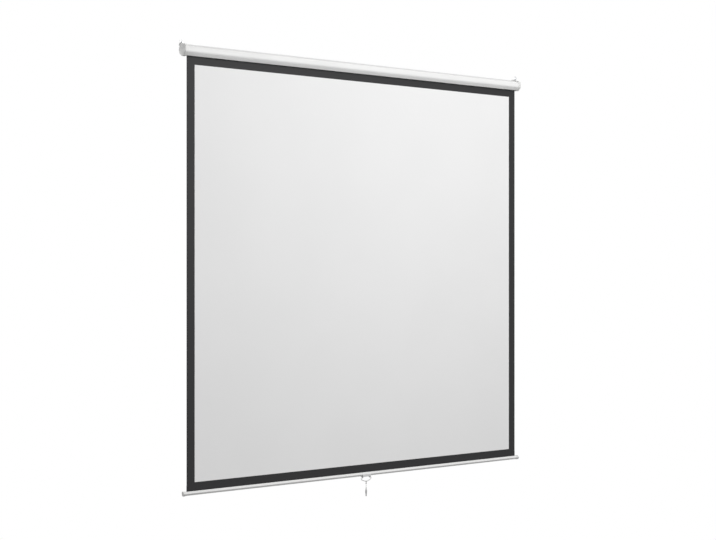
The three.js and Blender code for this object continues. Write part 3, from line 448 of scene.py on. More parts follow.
def mesh_of(name, skins, smooth=32):
    """One mesh from several skins: equal points are merged and faces are turned outwards."""
    points, faces, uvs, offset = [], [], [], 0
    for grid, quads, uv in skins:
        points.append(grid)
        faces += [[i + offset for i in face] for face in quads]
        uvs.append(np.zeros((len(grid), 2)) if uv is None else uv)
        offset += len(grid)
    mesh = bpy.data.meshes.new(name)
    mesh.from_pydata(np.concatenate(points), [], faces)
    corner = np.zeros(len(mesh.loops), np.int32)
    mesh.loops.foreach_get("vertex_index", corner)
    mesh.uv_layers.new(name="UVMap").data.foreach_set("uv", np.concatenate(uvs)[corner].ravel())
    shape = bmesh.new()
    shape.from_mesh(mesh)
    bmesh.ops.remove_doubles(shape, verts=shape.verts, dist=MERGE_WITHIN)
    bmesh.ops.recalc_face_normals(shape, faces=shape.faces)
    shape.to_mesh(mesh)
    shape.free()
    soften(mesh, smooth)
    return mesh


def soften(mesh, degrees):
    """Smooth faces, with a sharp edge wherever two of them turn by more than some degrees."""
    mesh.polygons.foreach_set("use_smooth", np.ones(len(mesh.polygons), bool))
    mesh.set_sharp_from_angle(angle=math.radians(degrees))
    mesh.update()


def place(data):
    """An object at the origin for a mesh, a camera or a lamp, with its name."""
    thing = bpy.data.objects.new(data.name, data)
    bpy.context.scene.collection.objects.link(thing)
    return thing


def carved(name, whole, cutters, joined=()):
    """The whole with other closed skins joined to it and then cut out of it."""
    thing = place(mesh_of(name, whole))
    tools = []
    for kind, skins in [("UNION", s) for s in joined] + [("DIFFERENCE", s) for s in cutters]:
        tool = place(mesh_of(name + "_tool", [skins]))
        modifier = thing.modifiers.new(kind, "BOOLEAN")
        modifier.operation = kind
        modifier.solver = "EXACT"
        modifier.object = tool
        tools.append(tool)
    depsgraph = bpy.context.evaluated_depsgraph_get()
    mesh = bpy.data.meshes.new_from_object(thing.evaluated_get(depsgraph))
    for used in [thing, *tools]:
        bpy.data.meshes.remove(used.data)
    mesh.name = name
    soften(mesh, 32)
    return mesh


def mirrored(mesh, name):
    """The mesh with every x turned to -x and its faces turned back outwards."""
    other = mesh.copy()
    other.name = name
    points = np.zeros(len(other.vertices) * 3)
    other.vertices.foreach_get("co", points)
    other.vertices.foreach_set("co", (points.reshape(-1, 3) * [-1, 1, 1]).ravel())
    other.flip_normals()
    other.update()
    return other


def finished_piece(mesh, body, slot, nodes=(), bevel=0.0, look=None):
    """An object that rides on a body and stands for CAD nodes, in its slot's finish or another look."""
    piece = place(mesh)
    mesh.materials.clear()
    mesh.materials.append(finish_set()[look or slot])
    if bevel:
        modifier = piece.modifiers.new("edges", "BEVEL")
        modifier.width = bevel
        modifier.segments = 2
        modifier.limit_method = "ANGLE"
        modifier.angle_limit = math.radians(38)
        modifier.use_clamp_overlap = True
    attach(piece, body)
    if nodes:
        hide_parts(*nodes)
    return piece


# Shader maths

def forward(operation):
    """A method that feeds a Math node with its own signal and then the others."""
    return lambda self, *others: self.finish.maths(operation, self, *others)


def reflected(operation):
    """The same with the other one first, for a number on the left of a signal."""
    return lambda self, other: self.finish.maths(operation, other, self)


class Signal:
    """A socket on which Python's operators add Math nodes."""

    def __init__(self, finish, socket):
        self.finish = finish
        self.socket = socket

    __add__, __sub__, __mul__ = map(forward, ("ADD", "SUBTRACT", "MULTIPLY"))
    __radd__, __rsub__, __rmul__ = map(reflected, ("ADD", "SUBTRACT", "MULTIPLY"))
    __lt__, least, most = map(forward, ("LESS_THAN", "MINIMUM", "MAXIMUM"))
    sine, root = map(forward, ("SINE", "SQRT"))


class Finish:
    """A material or a world under construction."""

    def __init__(self, name, tree=None):
        if tree is None:
            self.material = bpy.data.materials.new(name)
            self.material.use_nodes = True
            tree = self.material.node_tree
        self.tree = tree
        self.tree.nodes.clear()

    def node(self, kind, settings=None, inputs=None):
        """Adds a node: its settings first, then each input as a value or a link."""
        made = self.tree.nodes.new(kind)
        for name, value in (settings or {}).items():
            setattr(made, name, value)
        for name, value in (inputs or {}).items():
            value = getattr(value, "socket", value)
            if isinstance(value, bpy.types.NodeSocket):
                self.tree.links.new(value, made.inputs[name])
            else:
                made.inputs[name].default_value = value
        return made

    def signal(self, kind, settings=None, inputs=None, output=0):
        return Signal(self, self.node(kind, settings, inputs).outputs[output])

    def maths(self, operation, *values):
        return self.signal("ShaderNodeMath", {"operation": operation}, dict(enumerate(values)))

    def coordinates(self, which="Object"):
        return self.node("ShaderNodeTexCoord").outputs[which]

    def axes(self, vector):
        split = self.node("ShaderNodeSeparateXYZ", inputs={0: vector})
        return [Signal(self, socket) for socket in split.outputs]

    def stretched(self, scale):
        inputs = {"Vector": self.coordinates(), "Scale": scale}
        return self.node("ShaderNodeMapping", inputs=inputs).outputs[0]

    def noise(self, scale, detail=2.0, vector=None, roughness=0.5):
        source = self.coordinates() if vector is None else vector
        inputs = {"Vector": source, "Scale": scale, "Detail": detail, "Roughness": roughness}
        return self.signal("ShaderNodeTexNoise", None, inputs)

    def cells(self, scale):
        return self.signal("ShaderNodeTexVoronoi", None, {"Vector": self.coordinates(), "Scale": scale})

    def between(self, value, low, high):
        """0 up to low, 1 from high and an S-curve between them."""
        inputs = {"Value": value, "From Min": low, "From Max": high}
        return self.signal("ShaderNodeMapRange", {"interpolation_type": "SMOOTHSTEP"}, inputs)

    def mixed(self, factor, first, second):
        inputs = {0: factor, 6: first, 7: second}
        return self.signal("ShaderNodeMix", {"data_type": "RGBA"}, inputs, 2)

    def bump(self, height, distance):
        inputs = {"Height": height, "Distance": distance, "Strength": 1.0}
        return self.node("ShaderNodeBump", inputs=inputs).outputs[0]

    def blended(self, factor, first, second):
        inputs = {0: factor, 1: first.outputs[0], 2: second.outputs[0]}
        return self.node("ShaderNodeMixShader", inputs=inputs)

    def backdrop(self, kind, strength):
        return self.node(kind, inputs={"Color": WHITE, "Strength": strength})

    def surface(self, **values):
        """The closing shader, from the names of its sockets with _ for a space."""
        inputs = {name.replace("_", " "): value for name, value in values.items()}
        shader = self.node("ShaderNodeBsdfPrincipled", inputs=inputs)
        self.node("ShaderNodeOutputMaterial", inputs={"Surface": shader.outputs[0]})
        return self.material


def opaque(rgb, factor=1.0):
    """The colour made lighter or darker, with an alpha of 1."""
    return (*(min(1.0, c * factor) for c in rgb), 1.0)


def enamel(rgb):
    """Satin powder coat on an extrusion: orange peel, faint draw lines along X and soft dust."""
    finish = Finish("enamel")
    peel = finish.noise(900, 1.0)
    lines = finish.noise(1, 2.0, finish.stretched((2.5, 900, 900)))
    dust = finish.noise(7, 3.0, finish.stretched((0.6, 5, 5)))
    tint = finish.mixed(finish.between(dust, 0.35, 0.7), opaque(rgb, 1.01), opaque(rgb, 0.972))
    return finish.surface(
        Base_Color=tint,
        Roughness=0.44 + peel * 0.08 + lines * 0.05,
        Normal=finish.bump(peel * 0.6 + lines * 0.4, 0.00004),
        Specular_IOR_Level=0.3,
    )


def moulded(name, rgb, rough, grain=1500, depth=0.00005):
    """Moulded plastic: spark-eroded grain and a slow change of gloss and tone."""
    finish = Finish(name)
    fine = finish.noise(grain, 2.0, roughness=0.6)
    pits = finish.cells(grain * 0.45)
    slow = finish.noise(30, 3.0)
    tint = finish.mixed(finish.between(slow, 0.3, 0.75), opaque(rgb, 1.01), opaque(rgb, 0.965))
    return finish.surface(
        Base_Color=tint,
        Roughness=rough - 0.04 + fine * 0.10 + slow * 0.05,
        Normal=finish.bump(fine * 0.6 + pits * 0.4, depth),
    )


def plated(name, rgb, rough, brushed):
    """Plated metal: mottled crystals, fine brushing and dull spots where the plating is thin."""
    finish = Finish(name)
    spangle = finish.cells(420)
    brush = finish.noise(1, 3.0, finish.stretched(brushed))
    spots = finish.noise(220, 4.0)
    dull = finish.between(spots, 0.58, 0.78)
    tint = finish.mixed(spangle * 0.6, opaque(rgb, 1.04), opaque(rgb, 0.9))
    tint = finish.mixed(dull, tint, opaque(rgb, 0.86))
    return finish.surface(
        Base_Color=tint,
        Metallic=1.0 - dull * 0.12,
        Roughness=rough + spangle * 0.05 + brush * 0.08 + dull * 0.08,
        Normal=finish.bump(brush * 0.7 + spangle * 0.3, 0.00002),
    )


def screen_surface(colours, sizes, width, drop):
    """Coated cloth: white inside the border, an opaque coating behind, and a fine weave on both."""
    finish = Finish("screen_surface")
    u, v, _ = finish.axes(finish.coordinates("UV"))
    front = u < 1.5
    across = u * width
    down = v * drop
    side_room = (across - sizes.side_border).least(width - sizes.side_border - across)
    top = drop + CASING_FOOT - ROLLER_AXIS[1] - sizes.top_border
    end_room = (down - (sizes.foot_border + CLOTH_IN_BAR)).least(top - down)
    edge = 0.0004
    inside = finish.between(side_room.least(end_room), -edge, edge)
    threads = math.tau / WEAVE
    weave = (across * threads).sine() * (down * threads).sine()
    fine = finish.noise(1400, 2.0)
    slow = finish.between(finish.noise(2.2, 2.0), 0.3, 0.7)
    white = finish.mixed(slow, opaque(colours.cloth, 1.004), opaque(colours.cloth, 0.99))
    black = finish.mixed(fine, opaque(colours.border, 0.8), opaque(colours.border, 1.2))
    back = finish.mixed(fine, opaque(colours.backing, 0.85), opaque(colours.backing, 1.15))
    face = finish.mixed(inside, black, white)
    return finish.surface(
        Base_Color=finish.mixed(front, back, face),
        Roughness=0.58 + fine * 0.08 + inside * 0.26,
        Normal=finish.bump(weave * 0.5 + fine * 0.5, 0.000015),
        Specular_IOR_Level=0.3,
    )


def braid(rgb):
    """Braided cord: two sets of strands cross on its UV map, u once round and v in metres."""
    finish = Finish("braid")
    u, v, _ = finish.axes(finish.coordinates("UV"))
    around, along = 8 * math.pi, 3600
    over = (u * around + v * along).sine().most((u * around - v * along).sine())
    fuzz = finish.noise(5200, 3.0)
    # The tint is darker where the strands dip, which is painted shade in the grooves between them.
    tint = finish.mixed(finish.between(over, -0.3, 0.9), opaque(rgb, 0.78), opaque(rgb, 1.03))
    return finish.surface(
        Base_Color=tint,
        Roughness=0.82 + fuzz * 0.12,
        Normal=finish.bump(over * 0.8 + fuzz * 0.2, 0.00012),
        Sheen_Weight=0.15,
    )


MOULDED = {
    "cap_plastic": ("cap", 0.46),
    "handle_plastic": ("handle", 0.30, 900, 0.00002),
    # The bracket's look is the handle plastic darkened, which is painted shade under the bar.
    "bracket_plastic": ("bracket", 0.4),
    "toggle_plastic": ("toggle", 0.38, 900, 0.00003),
    "nylon": ("nylon", 0.52),
    "roll_cloth": ("backing", 0.85),
    "black_coating": ("border", 0.88),
}
PLATED = {
    "ring_wire": ("zinc", 0.24, (300, 300, 300)),
    "zinc_screw": ("zinc", 0.28, (900, 900, 900)),
    # The top cap screws take this near-black colour as painted shade for the dark spot round them at the
    # cap's upper back.
    "black_screw": ("black_zinc", 0.34, (900, 900, 900)),
    "bright_steel": ("steel", 0.32, (40, 1200, 1200)),
    "spring_steel": ("spring", 0.34, (500, 500, 500)),
}


@cache
def finish_set():
    """Every material by the record's slot, and those of the bracket and the turns on the roller,
    which are made once."""
    sizes, colours, _ = settings()
    low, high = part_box("screen_cloth")
    return {
        "casing_enamel": enamel(colours.enamel),
        "bar_enamel": enamel(colours.enamel),
        "matt_cloth": screen_surface(colours, sizes, high.x - low.x, high.z - low.z),
        "zinc_plate": plated("zinc_plate", [c * 0.86 for c in colours.zinc], 0.36, (40, 900, 60)),
        "white_cord": braid(colours.cord),
        **{name: moulded(name, getattr(colours, key), *rest) for name, (key, *rest) in MOULDED.items()},
        **{name: plated(name, getattr(colours, key), *rest) for name, (key, *rest) in PLATED.items()},
    }


# Pieces

def make_cord(sizes):
    """The free cord, which hangs straight from the knot on the handle's middle to the toggle."""
    radius = sizes.cord_diameter / 2
    y, wire = CLOTH_PLANE + EAR[0], BAR_TOP + EAR[1] - HANDLE_DROP
    top, bottom = wire - KNOT_DROP, TOGGLE_TOP - CORD_IN_TOGGLE
    path = np.stack([np.zeros(24), np.full(24, y), np.linspace(top, bottom, 24)], 1)
    spread = np.stack(np.meshgrid(np.linspace(0, 1, 17), travelled(path)), 2)
    grid = tube(path, radius, 16)
    mesh = mesh_of("braided_cord", [skin(grid, uv=spread)])
    cord = finished_piece(mesh, "pull", "white_cord", ["pull_cord"])
    knot = make_knot(radius, sizes.knot_turns, y, wire)
    toggle = make_toggle(y)


def make_knot(radius, turns, y, wire):
    """One length of cord: a loop over the handle, closed below it, and turns round the standing
    part, which are a helix: (R sin a, R cos a, z falling by a pitch a turn)."""
    reach = HANDLE_WIRE + radius * 1.15
    angle = np.linspace(-0.62 * math.pi, 0.62 * math.pi, 28)
    loop = np.stack([np.zeros(28), reach * np.sin(angle), reach * np.cos(angle)], 1)
    coil = 2.1 * radius
    pitch = 2.12 * radius
    first = -reach - 2.6 * radius
    turn = np.linspace(0, math.tau * turns, 24 * turns)
    helix = np.stack([coil * np.sin(turn), coil * np.cos(turn), first - pitch * turn / math.tau], 1)
    tail = helix[-1] + np.array([[0.9, 0.5, -0.2], [1.6, 1.2, -0.7]]) * radius
    start = np.array([[0, 0, first - 1.5 * radius], [0, -0.4 * radius, first + 0.6 * radius]])
    lead = np.array([[0, coil * 0.98, first + 1.1 * radius]])
    path = smooth_line(np.concatenate([start, loop[::3], loop[-1:], lead, helix[::3], helix[-1:], tail]), 4)
    grid = tube(path + [0, y, wire], radius, 12, reference=(1, 0.02, 0.01), domed=True)
    spread = np.stack(np.meshgrid(np.linspace(0, 1, 13), travelled(grid.mean(1))), 2)
    mesh = mesh_of("cord_hitch", [skin(grid, uv=spread)], 60)
    return finished_piece(mesh, "pull", "white_cord", ["cord_knot"])


def make_toggle(y):
    """A turned toggle, whose smooth profile is given in shares of its radius and its length."""
    profile = smooth_line(TOGGLE_SHARES, 5) * [TOGGLE_RADIUS, -TOGGLE_LENGTH]
    profile[:, 0] = np.maximum(profile[:, 0], 0)
    top = np.array([[0, profile[0, 1]]])
    grid = turned(np.concatenate([top, profile]), 56, centre=(0, y, TOGGLE_TOP))
    mesh = mesh_of("cord_toggle", [skin(grid, False)], 40)
    return finished_piece(mesh, "pull", "toggle_plastic", ["pull_toggle"])


def sheet_skins(x, z, depth, half, spread):
    """Both faces of a sheet and its four edges. Behind, u is 2 more than on the face."""
    front, back = (np.stack(np.broadcast_arrays(x, depth + side, z), 2) for side in (-half, half))
    skins = [skin(front, False, spread), skin(back, False, spread + [2, 0])]
    for edge in (np.s_[0], np.s_[-1], np.s_[:, 0], np.s_[:, -1]):
        skins.append(skin(np.stack([front[edge], back[edge]]), False, np.stack([spread[edge], spread[edge]])))
    return skins


def make_hem():
    """The doubled foot of the cloth. It goes up with the bar, so it is what stays in sight in the
    casing's slot when the screen is up."""
    low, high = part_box("screen_cloth")
    u, v = np.meshgrid(np.linspace(0, 1, 17), np.linspace(0, 1, 3))
    x = low.x - HEM_OVER + u * (high.x - low.x + 2 * HEM_OVER)
    z = BAR_TOP + HEM_LOW + v * (HEM_HIGH - HEM_LOW)
    spread = np.stack([u, (z - low.z) / (high.z - low.z)], 2)
    mesh = mesh_of("cloth_hem", sheet_skins(x, z, CLOTH_PLANE, HEM_HALF, spread), 60)
    return finished_piece(mesh, "weight_bar", "matt_cloth")


def make_cloth(sizes):
    """The cloth's two faces as one closed sheet. Its depth is the plane of the cloth plus
    ripple * sin(pi v) * sin(7 pi u) * cos(3 pi v), which is nothing at the roller and the bar."""
    low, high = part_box("screen_cloth")
    u, v = np.meshgrid(np.linspace(0, 1, CLOTH_GRID), np.linspace(0, 1, CLOTH_GRID))
    x = low.x + u * (high.x - low.x)
    z = low.z + v * (high.z - low.z)
    wave = sizes.ripple * np.sin(math.pi * v) * np.sin(7 * math.pi * u) * np.cos(3 * math.pi * v)
    skins = sheet_skins(x, z, CLOTH_PLANE + wave, sizes.cloth_thickness / 2, np.stack([u, v], 2))
    mesh = mesh_of("screen_fabric", skins, 60)
    cloth = finished_piece(mesh, "housing", "matt_cloth", ["screen_cloth", "black_border"])
    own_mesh(cloth)
    make_hem()


def make_roll():
    """The turns left on the tube: a spiral whose radius grows by one cloth a turn."""
    low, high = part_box("cloth_turns")
    outer = high.y - ROLLER_AXIS[0]
    angle = np.linspace(0, math.tau, CLOTH_GRID)
    growth = outer - TURN_GROWTH + TURN_GROWTH * angle / math.tau
    spiral = np.stack([np.cos(angle + math.pi), np.sin(angle + math.pi)], 1)
    face, core = (spiral * r + ROLLER_AXIS for r in (growth[:, None], outer - TURNS_WALL))
    mesh = mesh_of("cloth_roll", [pipe(face, core, low.x, high.x)], 50)
    finished_piece(mesh, "roller", "matt_cloth", ["cloth_turns"], look="roll_cloth")


def casing_outline(sizes):
    """The casing's section as one line: round the outside from the slot's back edge to its
    front edge, up and over the front lip, back round the inside and down the back lip."""
    outer = rounded(inset(housing(CASING_RIDGE), CAP_SKIN), 28)
    inner = rounded(inset(housing(CASING_RIDGE), CAP_SKIN + sizes.casing_wall), 28)
    lip = CASING_FOOT + sizes.lip_turn
    front, back = CLOTH_PLANE - sizes.slot_half, CLOTH_PLANE + sizes.slot_half
    front_in, back_in = front - sizes.casing_wall, back + sizes.casing_wall

    def outside(outline, low, high):
        return outline[~((outline[:, 0] > low) & (outline[:, 0] < high) & (outline[:, 1] < lip))]

    def foot(outline, y):
        below = outline[outline[:, 1] < lip - 0.0005]
        order = np.argsort(below[:, 0])
        return [y, np.interp(y, below[order, 0], below[order, 1])]

    return np.array([
        foot(outer, back), *outside(outer, front, back), [front, CASING_FOOT], [front, lip],
        [front_in, lip], [front_in, CASING_FOOT + sizes.casing_wall],
        *outside(inner, front_in, back_in)[::-1], foot(inner, back_in), [back_in, lip], [back, lip],
    ])


def make_casing(sizes):
    """The casing's section carried along X, with its flat rail behind and two screw ports inside."""
    low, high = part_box("casing")
    places = np.linspace(low.x, high.x, 9)
    rail_half = END_HALF - CAP_LENGTH - FIT
    skins = [prism(casing_outline(sizes), places), prism(RAIL, np.linspace(-rail_half, rail_half, 9))]
    for port in SCREW_PORTS:
        outer, inner = (ring_of(circle(r, 32, port)) for r in (PORT_RADIUS, PORT_BORE))
        skins.append(pipe(outer, inner, low.x, high.x))
    mesh = mesh_of("casing_shell", skins)
    finished_piece(mesh, "housing", "casing_enamel", ["casing"], sizes.edge_round * 0.6)


def make_end_caps(sizes):
    """A cup whose outline shrinks by edge * (1 - cos a) as its face nears by turn * sin a, with
    the lug's slot, the wall hook's notch and the screws' seats cut out."""
    swing = quarter(13)
    places = np.concatenate([[END_HALF - CAP_LENGTH], END_HALF - CAP_TURN + CAP_TURN * np.sin(swing)])
    shrink = np.concatenate([[0], CAP_EDGE * (1 - np.cos(swing))])
    outer = housing(CAP_RIDGE)
    cup = lofted([ring_of(rounded(inset(outer, s), 20)) for s in shrink], places)
    inside = rounded(inset(housing(CASING_RIDGE), CAP_SKIN - FIT), 20)
    floor = END_HALF - CAP_FLOOR
    plate_in = floor - PLATE
    cutters = [
        prism(inside, [END_HALF - CAP_LENGTH - CUT_PAST, floor]),
        prism(capsule(ROLLER_AXIS, RING_HOLE, LUG_RADIUS), [plate_in - LUG_SLOT, floor]),
        prism(rounded(HOOK_NOTCH, 8), [plate_in, END_HALF + CUT_PAST]),
    ]
    for port in SCREW_PORTS:
        cutters.append(prism(circle(PORT_RADIUS, 40, port), [END_HALF - SEAT_DEPTH, END_HALF + CUT_PAST]))
        cutters.append(prism(circle(PORT_BORE, 24, port), [END_HALF - CAP_LENGTH, END_HALF]))
    right = carved("end_cup_right", [skin(cup)], cutters)
    for mesh, side in ((mirrored(right, "end_cup_left"), "left"), (right, "right")):
        finished_piece(mesh, "housing", "cap_plastic", [f"end_cap_{side}"], sizes.edge_round * 2)


def make_cap_screws():
    """A domed head with a cross recess: height dome(r) - depth * cross, where the cross is 1
    within its half width of either of two diameters and within its reach."""
    head, dome, rim, shank, tip, tip_half = 0.0031, 0.0005, 0.0002, 0.00135, -0.013, 0.0004
    cross_half, cross_reach, cross_depth, flank, end = 0.0005, 0.0019, 0.0009, 0.00012, 0.0002
    radius = np.concatenate([np.linspace(0, 0.0022, 45), np.linspace(0.0023, head, 10)])
    angle = np.linspace(0, math.tau, 129)
    r, a = np.meshgrid(radius, angle, indexing="ij")
    u, v = np.abs(r * np.cos(a)), np.abs(r * np.sin(a))
    narrow, reach = np.minimum(u, v), np.maximum(u, v)
    arm = np.clip((cross_half - narrow) / flank, 0, 1) * np.clip((cross_reach - reach) / end, 0, 1)
    top = -dome * (r / head) ** 2 - cross_depth * arm * (1 - 0.45 * reach / cross_reach)
    faces = np.stack([top, r * np.cos(a), r * np.sin(a)], 2)
    profile = np.array([
        [head, rim - SEAT_DEPTH], [head - rim, -SEAT_DEPTH], [shank, -SEAT_DEPTH],
        [shank, tip + 0.0014], [tip_half, tip], [0, tip],
    ])
    below = turned(profile, 128, "x")
    for side, sign in SIDES:
        # The top screws get the near-black finish as painted shade for the dark spot round them; the front
        # ones are plain zinc.
        for port, slot, (y, z) in zip(("top", "front"), ("black_screw", "zinc_screw"), SCREW_PORTS):
            grid = np.concatenate([faces, below]) * [sign, 1, 1] + [sign * END_HALF, y, z]
            mesh = mesh_of(f"cross_screw_{side}_{port}", [skin(grid, False)], 28)
            finished_piece(mesh, "housing", slot, [f"cap_screw_{side}_{port}"])


def make_rings(sizes):
    """A closed wire round a triangle with a round crown, thinner for a hair where its ends meet.
    Its straight sides get points of their own, so that the seam can fall between corners."""
    flat = rounded(RING, 14)
    straight = 0.004
    spans = zip(flat, np.roll(flat, -1, 0))
    dense = np.concatenate([
        np.linspace(a, b, 10, endpoint=False) if np.linalg.norm(b - a) > straight else a[None]
        for a, b in spans
    ])
    seam = np.linalg.norm(dense - RING_SEAM, axis=1)
    radius = sizes.ring_wire / 2 * (1 - SEAM_DENT * np.exp(-(seam / SEAM_WIDTH) ** 2))
    y, z = RING_HOLE
    for side, sign in SIDES:
        middle = sign * (END_HALF - CAP_FLOOR - PLATE / 2)
        path = np.stack([sign * dense[:, 0] + middle, np.full(len(dense), y), dense[:, 1] + z], 1)
        mesh = mesh_of(f"wire_ring_{side}", [skin(tube(path, radius, 24, True), False)], 60)
        finished_piece(mesh, f"ring_{side}", "ring_wire", [f"hanging_ring_{side}"])


def bar_outline():
    """The bar's section as one line: round the outside from the slot's front edge to its back
    edge, down the slot, round the rod's pocket and up again."""
    outer = rounded(BAR, 12)
    top = np.argmax((outer[:, 0] < 0) & (outer[:, 1] > -1e-9))
    outer = np.roll(outer, -top, 0)
    gap = math.asin(BAR_SLOT_HALF / POCKET)
    pocket = circle(POCKET, 48, (0, -ROD_DEPTH), math.pi / 2 - gap, 2 * gap - math.tau, False)
    return np.concatenate([[[-BAR_SLOT_HALF, 0]], outer, [[BAR_SLOT_HALF, 0]], pocket])


def make_bar(sizes):
    """The bar's section carried along X, and its two end caps, whose outline grows and shrinks
    as it goes round the rim, out along the side and over the rounded edge."""
    shift = [CLOTH_PLANE, BAR_TOP]
    bar = prism(bar_outline() + shift, np.linspace(-BAR_HALF, BAR_HALF, 9))
    mesh = mesh_of("weight_bar", [bar])
    finished_piece(mesh, "weight_bar", "bar_enamel", ["bottom_bar"], sizes.edge_round * 0.6)
    swing = quarter(7)
    rim = BAR_CAP_SKIN - BAR_CAP_BREAK
    grown = np.concatenate([
        [FIT, FIT, rim, BAR_CAP_SKIN, BAR_CAP_SKIN], BAR_CAP_SKIN - BAR_CAP_EDGE * (1 - np.cos(swing)),
    ])
    start, turn = END_HALF - BAR_CAP_LENGTH, END_HALF - BAR_CAP_EDGE
    places = np.concatenate([
        [END_HALF - BAR_CAP_FLOOR, start, start, start + BAR_CAP_BREAK, turn - 0.0001],
        turn + BAR_CAP_EDGE * np.sin(swing),
    ])
    lines = [ring_of(rounded(inset(BAR, -g), 12) + shift) for g in grown]
    for side, sign in SIDES:
        mesh = mesh_of(f"bar_end_{side}", [skin(lofted(lines, sign * places))])
        finished_piece(mesh, "weight_bar", "cap_plastic", [f"bar_cap_{side}"])


def make_bracket(sizes):
    """A saddle under the bar with an ear at each end, cut to the bar's section and to the
    handle's ends, and the two rivets that hold it, turned from a domed profile."""
    shift = np.array([CLOTH_PLANE, BAR_TOP])
    ear = capsule((EAR[0], SADDLE_FOOT), EAR, EAR_RADIUS) + shift
    ears = [prism(ear, [x, x + EAR_WIDTH]) for x in (-SADDLE_HALF, SADDLE_HALF - EAR_WIDTH)]
    through = [-SADDLE_HALF - CUT_PAST, SADDLE_HALF + CUT_PAST]
    cutters = [
        prism(rounded(inset(BAR, -FIT), 10) + shift, through),
        prism(circle(EAR_HOLE, 32) + np.array(EAR) + shift, through),
    ]
    saddle = prism(rounded(SADDLE, 8) + shift, [-SADDLE_HALF, SADDLE_HALF])
    mesh = carved("handle_saddle", [saddle], cutters, ears)
    # The bracket takes the handle's plastic darkened, as painted shade under the bar.
    finished_piece(
        mesh, "weight_bar", "handle_plastic", ["handle_bracket"], sizes.edge_round * 1.6,
        look="bracket_plastic",
    )
    swing = quarter(8)
    rim = SADDLE_FOOT - RIVET_RIM
    dome = np.stack([RIVET_HEAD * np.cos(swing), rim - RIVET_DOME * np.sin(swing)], 1)
    shank = [[0, RIVET_TOP], [RIVET_SHANK, RIVET_TOP], [RIVET_SHANK, SADDLE_FOOT], [RIVET_HEAD, SADDLE_FOOT]]
    profile = np.concatenate([shank, dome])
    for side, sign in SIDES:
        grid = turned(profile, 40, centre=(sign * RIVET_OUT, CLOTH_PLANE + RIVET_DEPTH, BAR_TOP))
        mesh = mesh_of(f"rivet_{side}", [skin(grid, False)])
        finished_piece(mesh, "weight_bar", "zinc_screw", [f"bracket_rivet_{side}"])


def make_handle():
    """A round bar along the loop's line, which is the same on both sides of the middle."""
    half = HANDLE_SHARES * [HANDLE_HALF, HANDLE_DROP]
    line = np.concatenate([half, (half[:-1] * [-1, 1])[::-1]])
    flat = smooth_line(line, 14, 0.5)
    y = CLOTH_PLANE + EAR[0]
    path = np.stack([flat[:, 0], np.full(len(flat), y), flat[:, 1] + BAR_TOP + EAR[1]], 1)
    mesh = mesh_of("handle_loop", [skin(tube(path, HANDLE_WIRE, 28))], 50)
    finished_piece(mesh, "handle", "handle_plastic", ["pull_handle"], HANDLE_EDGE)


def make_spring(sizes):
    """A helix about the spindle: (x along, R cos a, R sin a), with a straight leg at each end."""
    low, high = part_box("lift_spring")
    wire, leg = 0.0008, 0.0016
    radius = high.z - ROLLER_AXIS[1] - wire
    turn = np.linspace(0, math.tau * sizes.spring_turns, 14 * sizes.spring_turns + 1)
    x = np.linspace(low.x + leg, high.x - leg, len(turn))
    helix = np.stack([x, radius * np.cos(turn), radius * np.sin(turn)], 1)
    path = np.concatenate([helix[:1] - [leg, 0, 0], helix, helix[-1:] + [leg, 0, 0]]) + [0, *ROLLER_AXIS]
    mesh = mesh_of("coil_spring", [skin(tube(path, wire * 0.95, 8, reference=(1, 0.001, 0.002)))], 60)
    finished_piece(mesh, "housing", "spring_steel", ["lift_spring"])


def dress_nodes():
    """Every CAD node that still shows takes the finish of its slot."""
    for part in frame["record"]["subparts"]:
        node = frame["nodes"][part["node"]]
        node.data.materials.clear()
        node.data.materials.append(finish_set()[part["material_slot"]])


def make_camera(stage):
    data = bpy.data.cameras.new("camera")
    data.lens = stage.focal_length
    data.sensor_width = SENSOR_WIDTH
    camera = place(data)
    camera.location = CAMERA_PLACE
    camera.rotation_euler = CAMERA_TURN
    bpy.context.scene.camera = camera


def make_lamp(name, power, size, location, target):
    """A square lamp aimed at a point, which the camera doesn't see."""
    data = bpy.data.lights.new(name, "AREA")
    data.energy = power
    data.shape = "SQUARE"
    data.size = size
    lamp = place(data)
    lamp.location = location
    lamp.rotation_euler = (Vector(target) - lamp.location).to_track_quat("-Z", "Y").to_euler()
    lamp.visible_camera = False


def seen_directly(finish):
    """1 on rays from the camera, in gloss and through glass, and 0 on the rays that light things."""
    path = finish.node("ShaderNodeLightPath")
    camera, gloss, glass = (
        Signal(finish, path.outputs[f"Is {kind} Ray"]) for kind in ("Camera", "Glossy", "Transmission")
    )
    return camera.most(gloss).most(glass)


def make_world(stage):
    """White where it is seen, and a dimmer white where it lights the screen."""
    world = bpy.data.worlds.new("studio")
    bpy.context.scene.world = world
    world.use_nodes = True
    finish = Finish("studio", world.node_tree)
    lit, white = (finish.backdrop("ShaderNodeBackground", strength) for strength in (stage.sky, 1.0))
    mixed = finish.blended(seen_directly(finish), lit, white)
    finish.node("ShaderNodeOutputWorld", inputs={"Surface": mixed.outputs[0]})


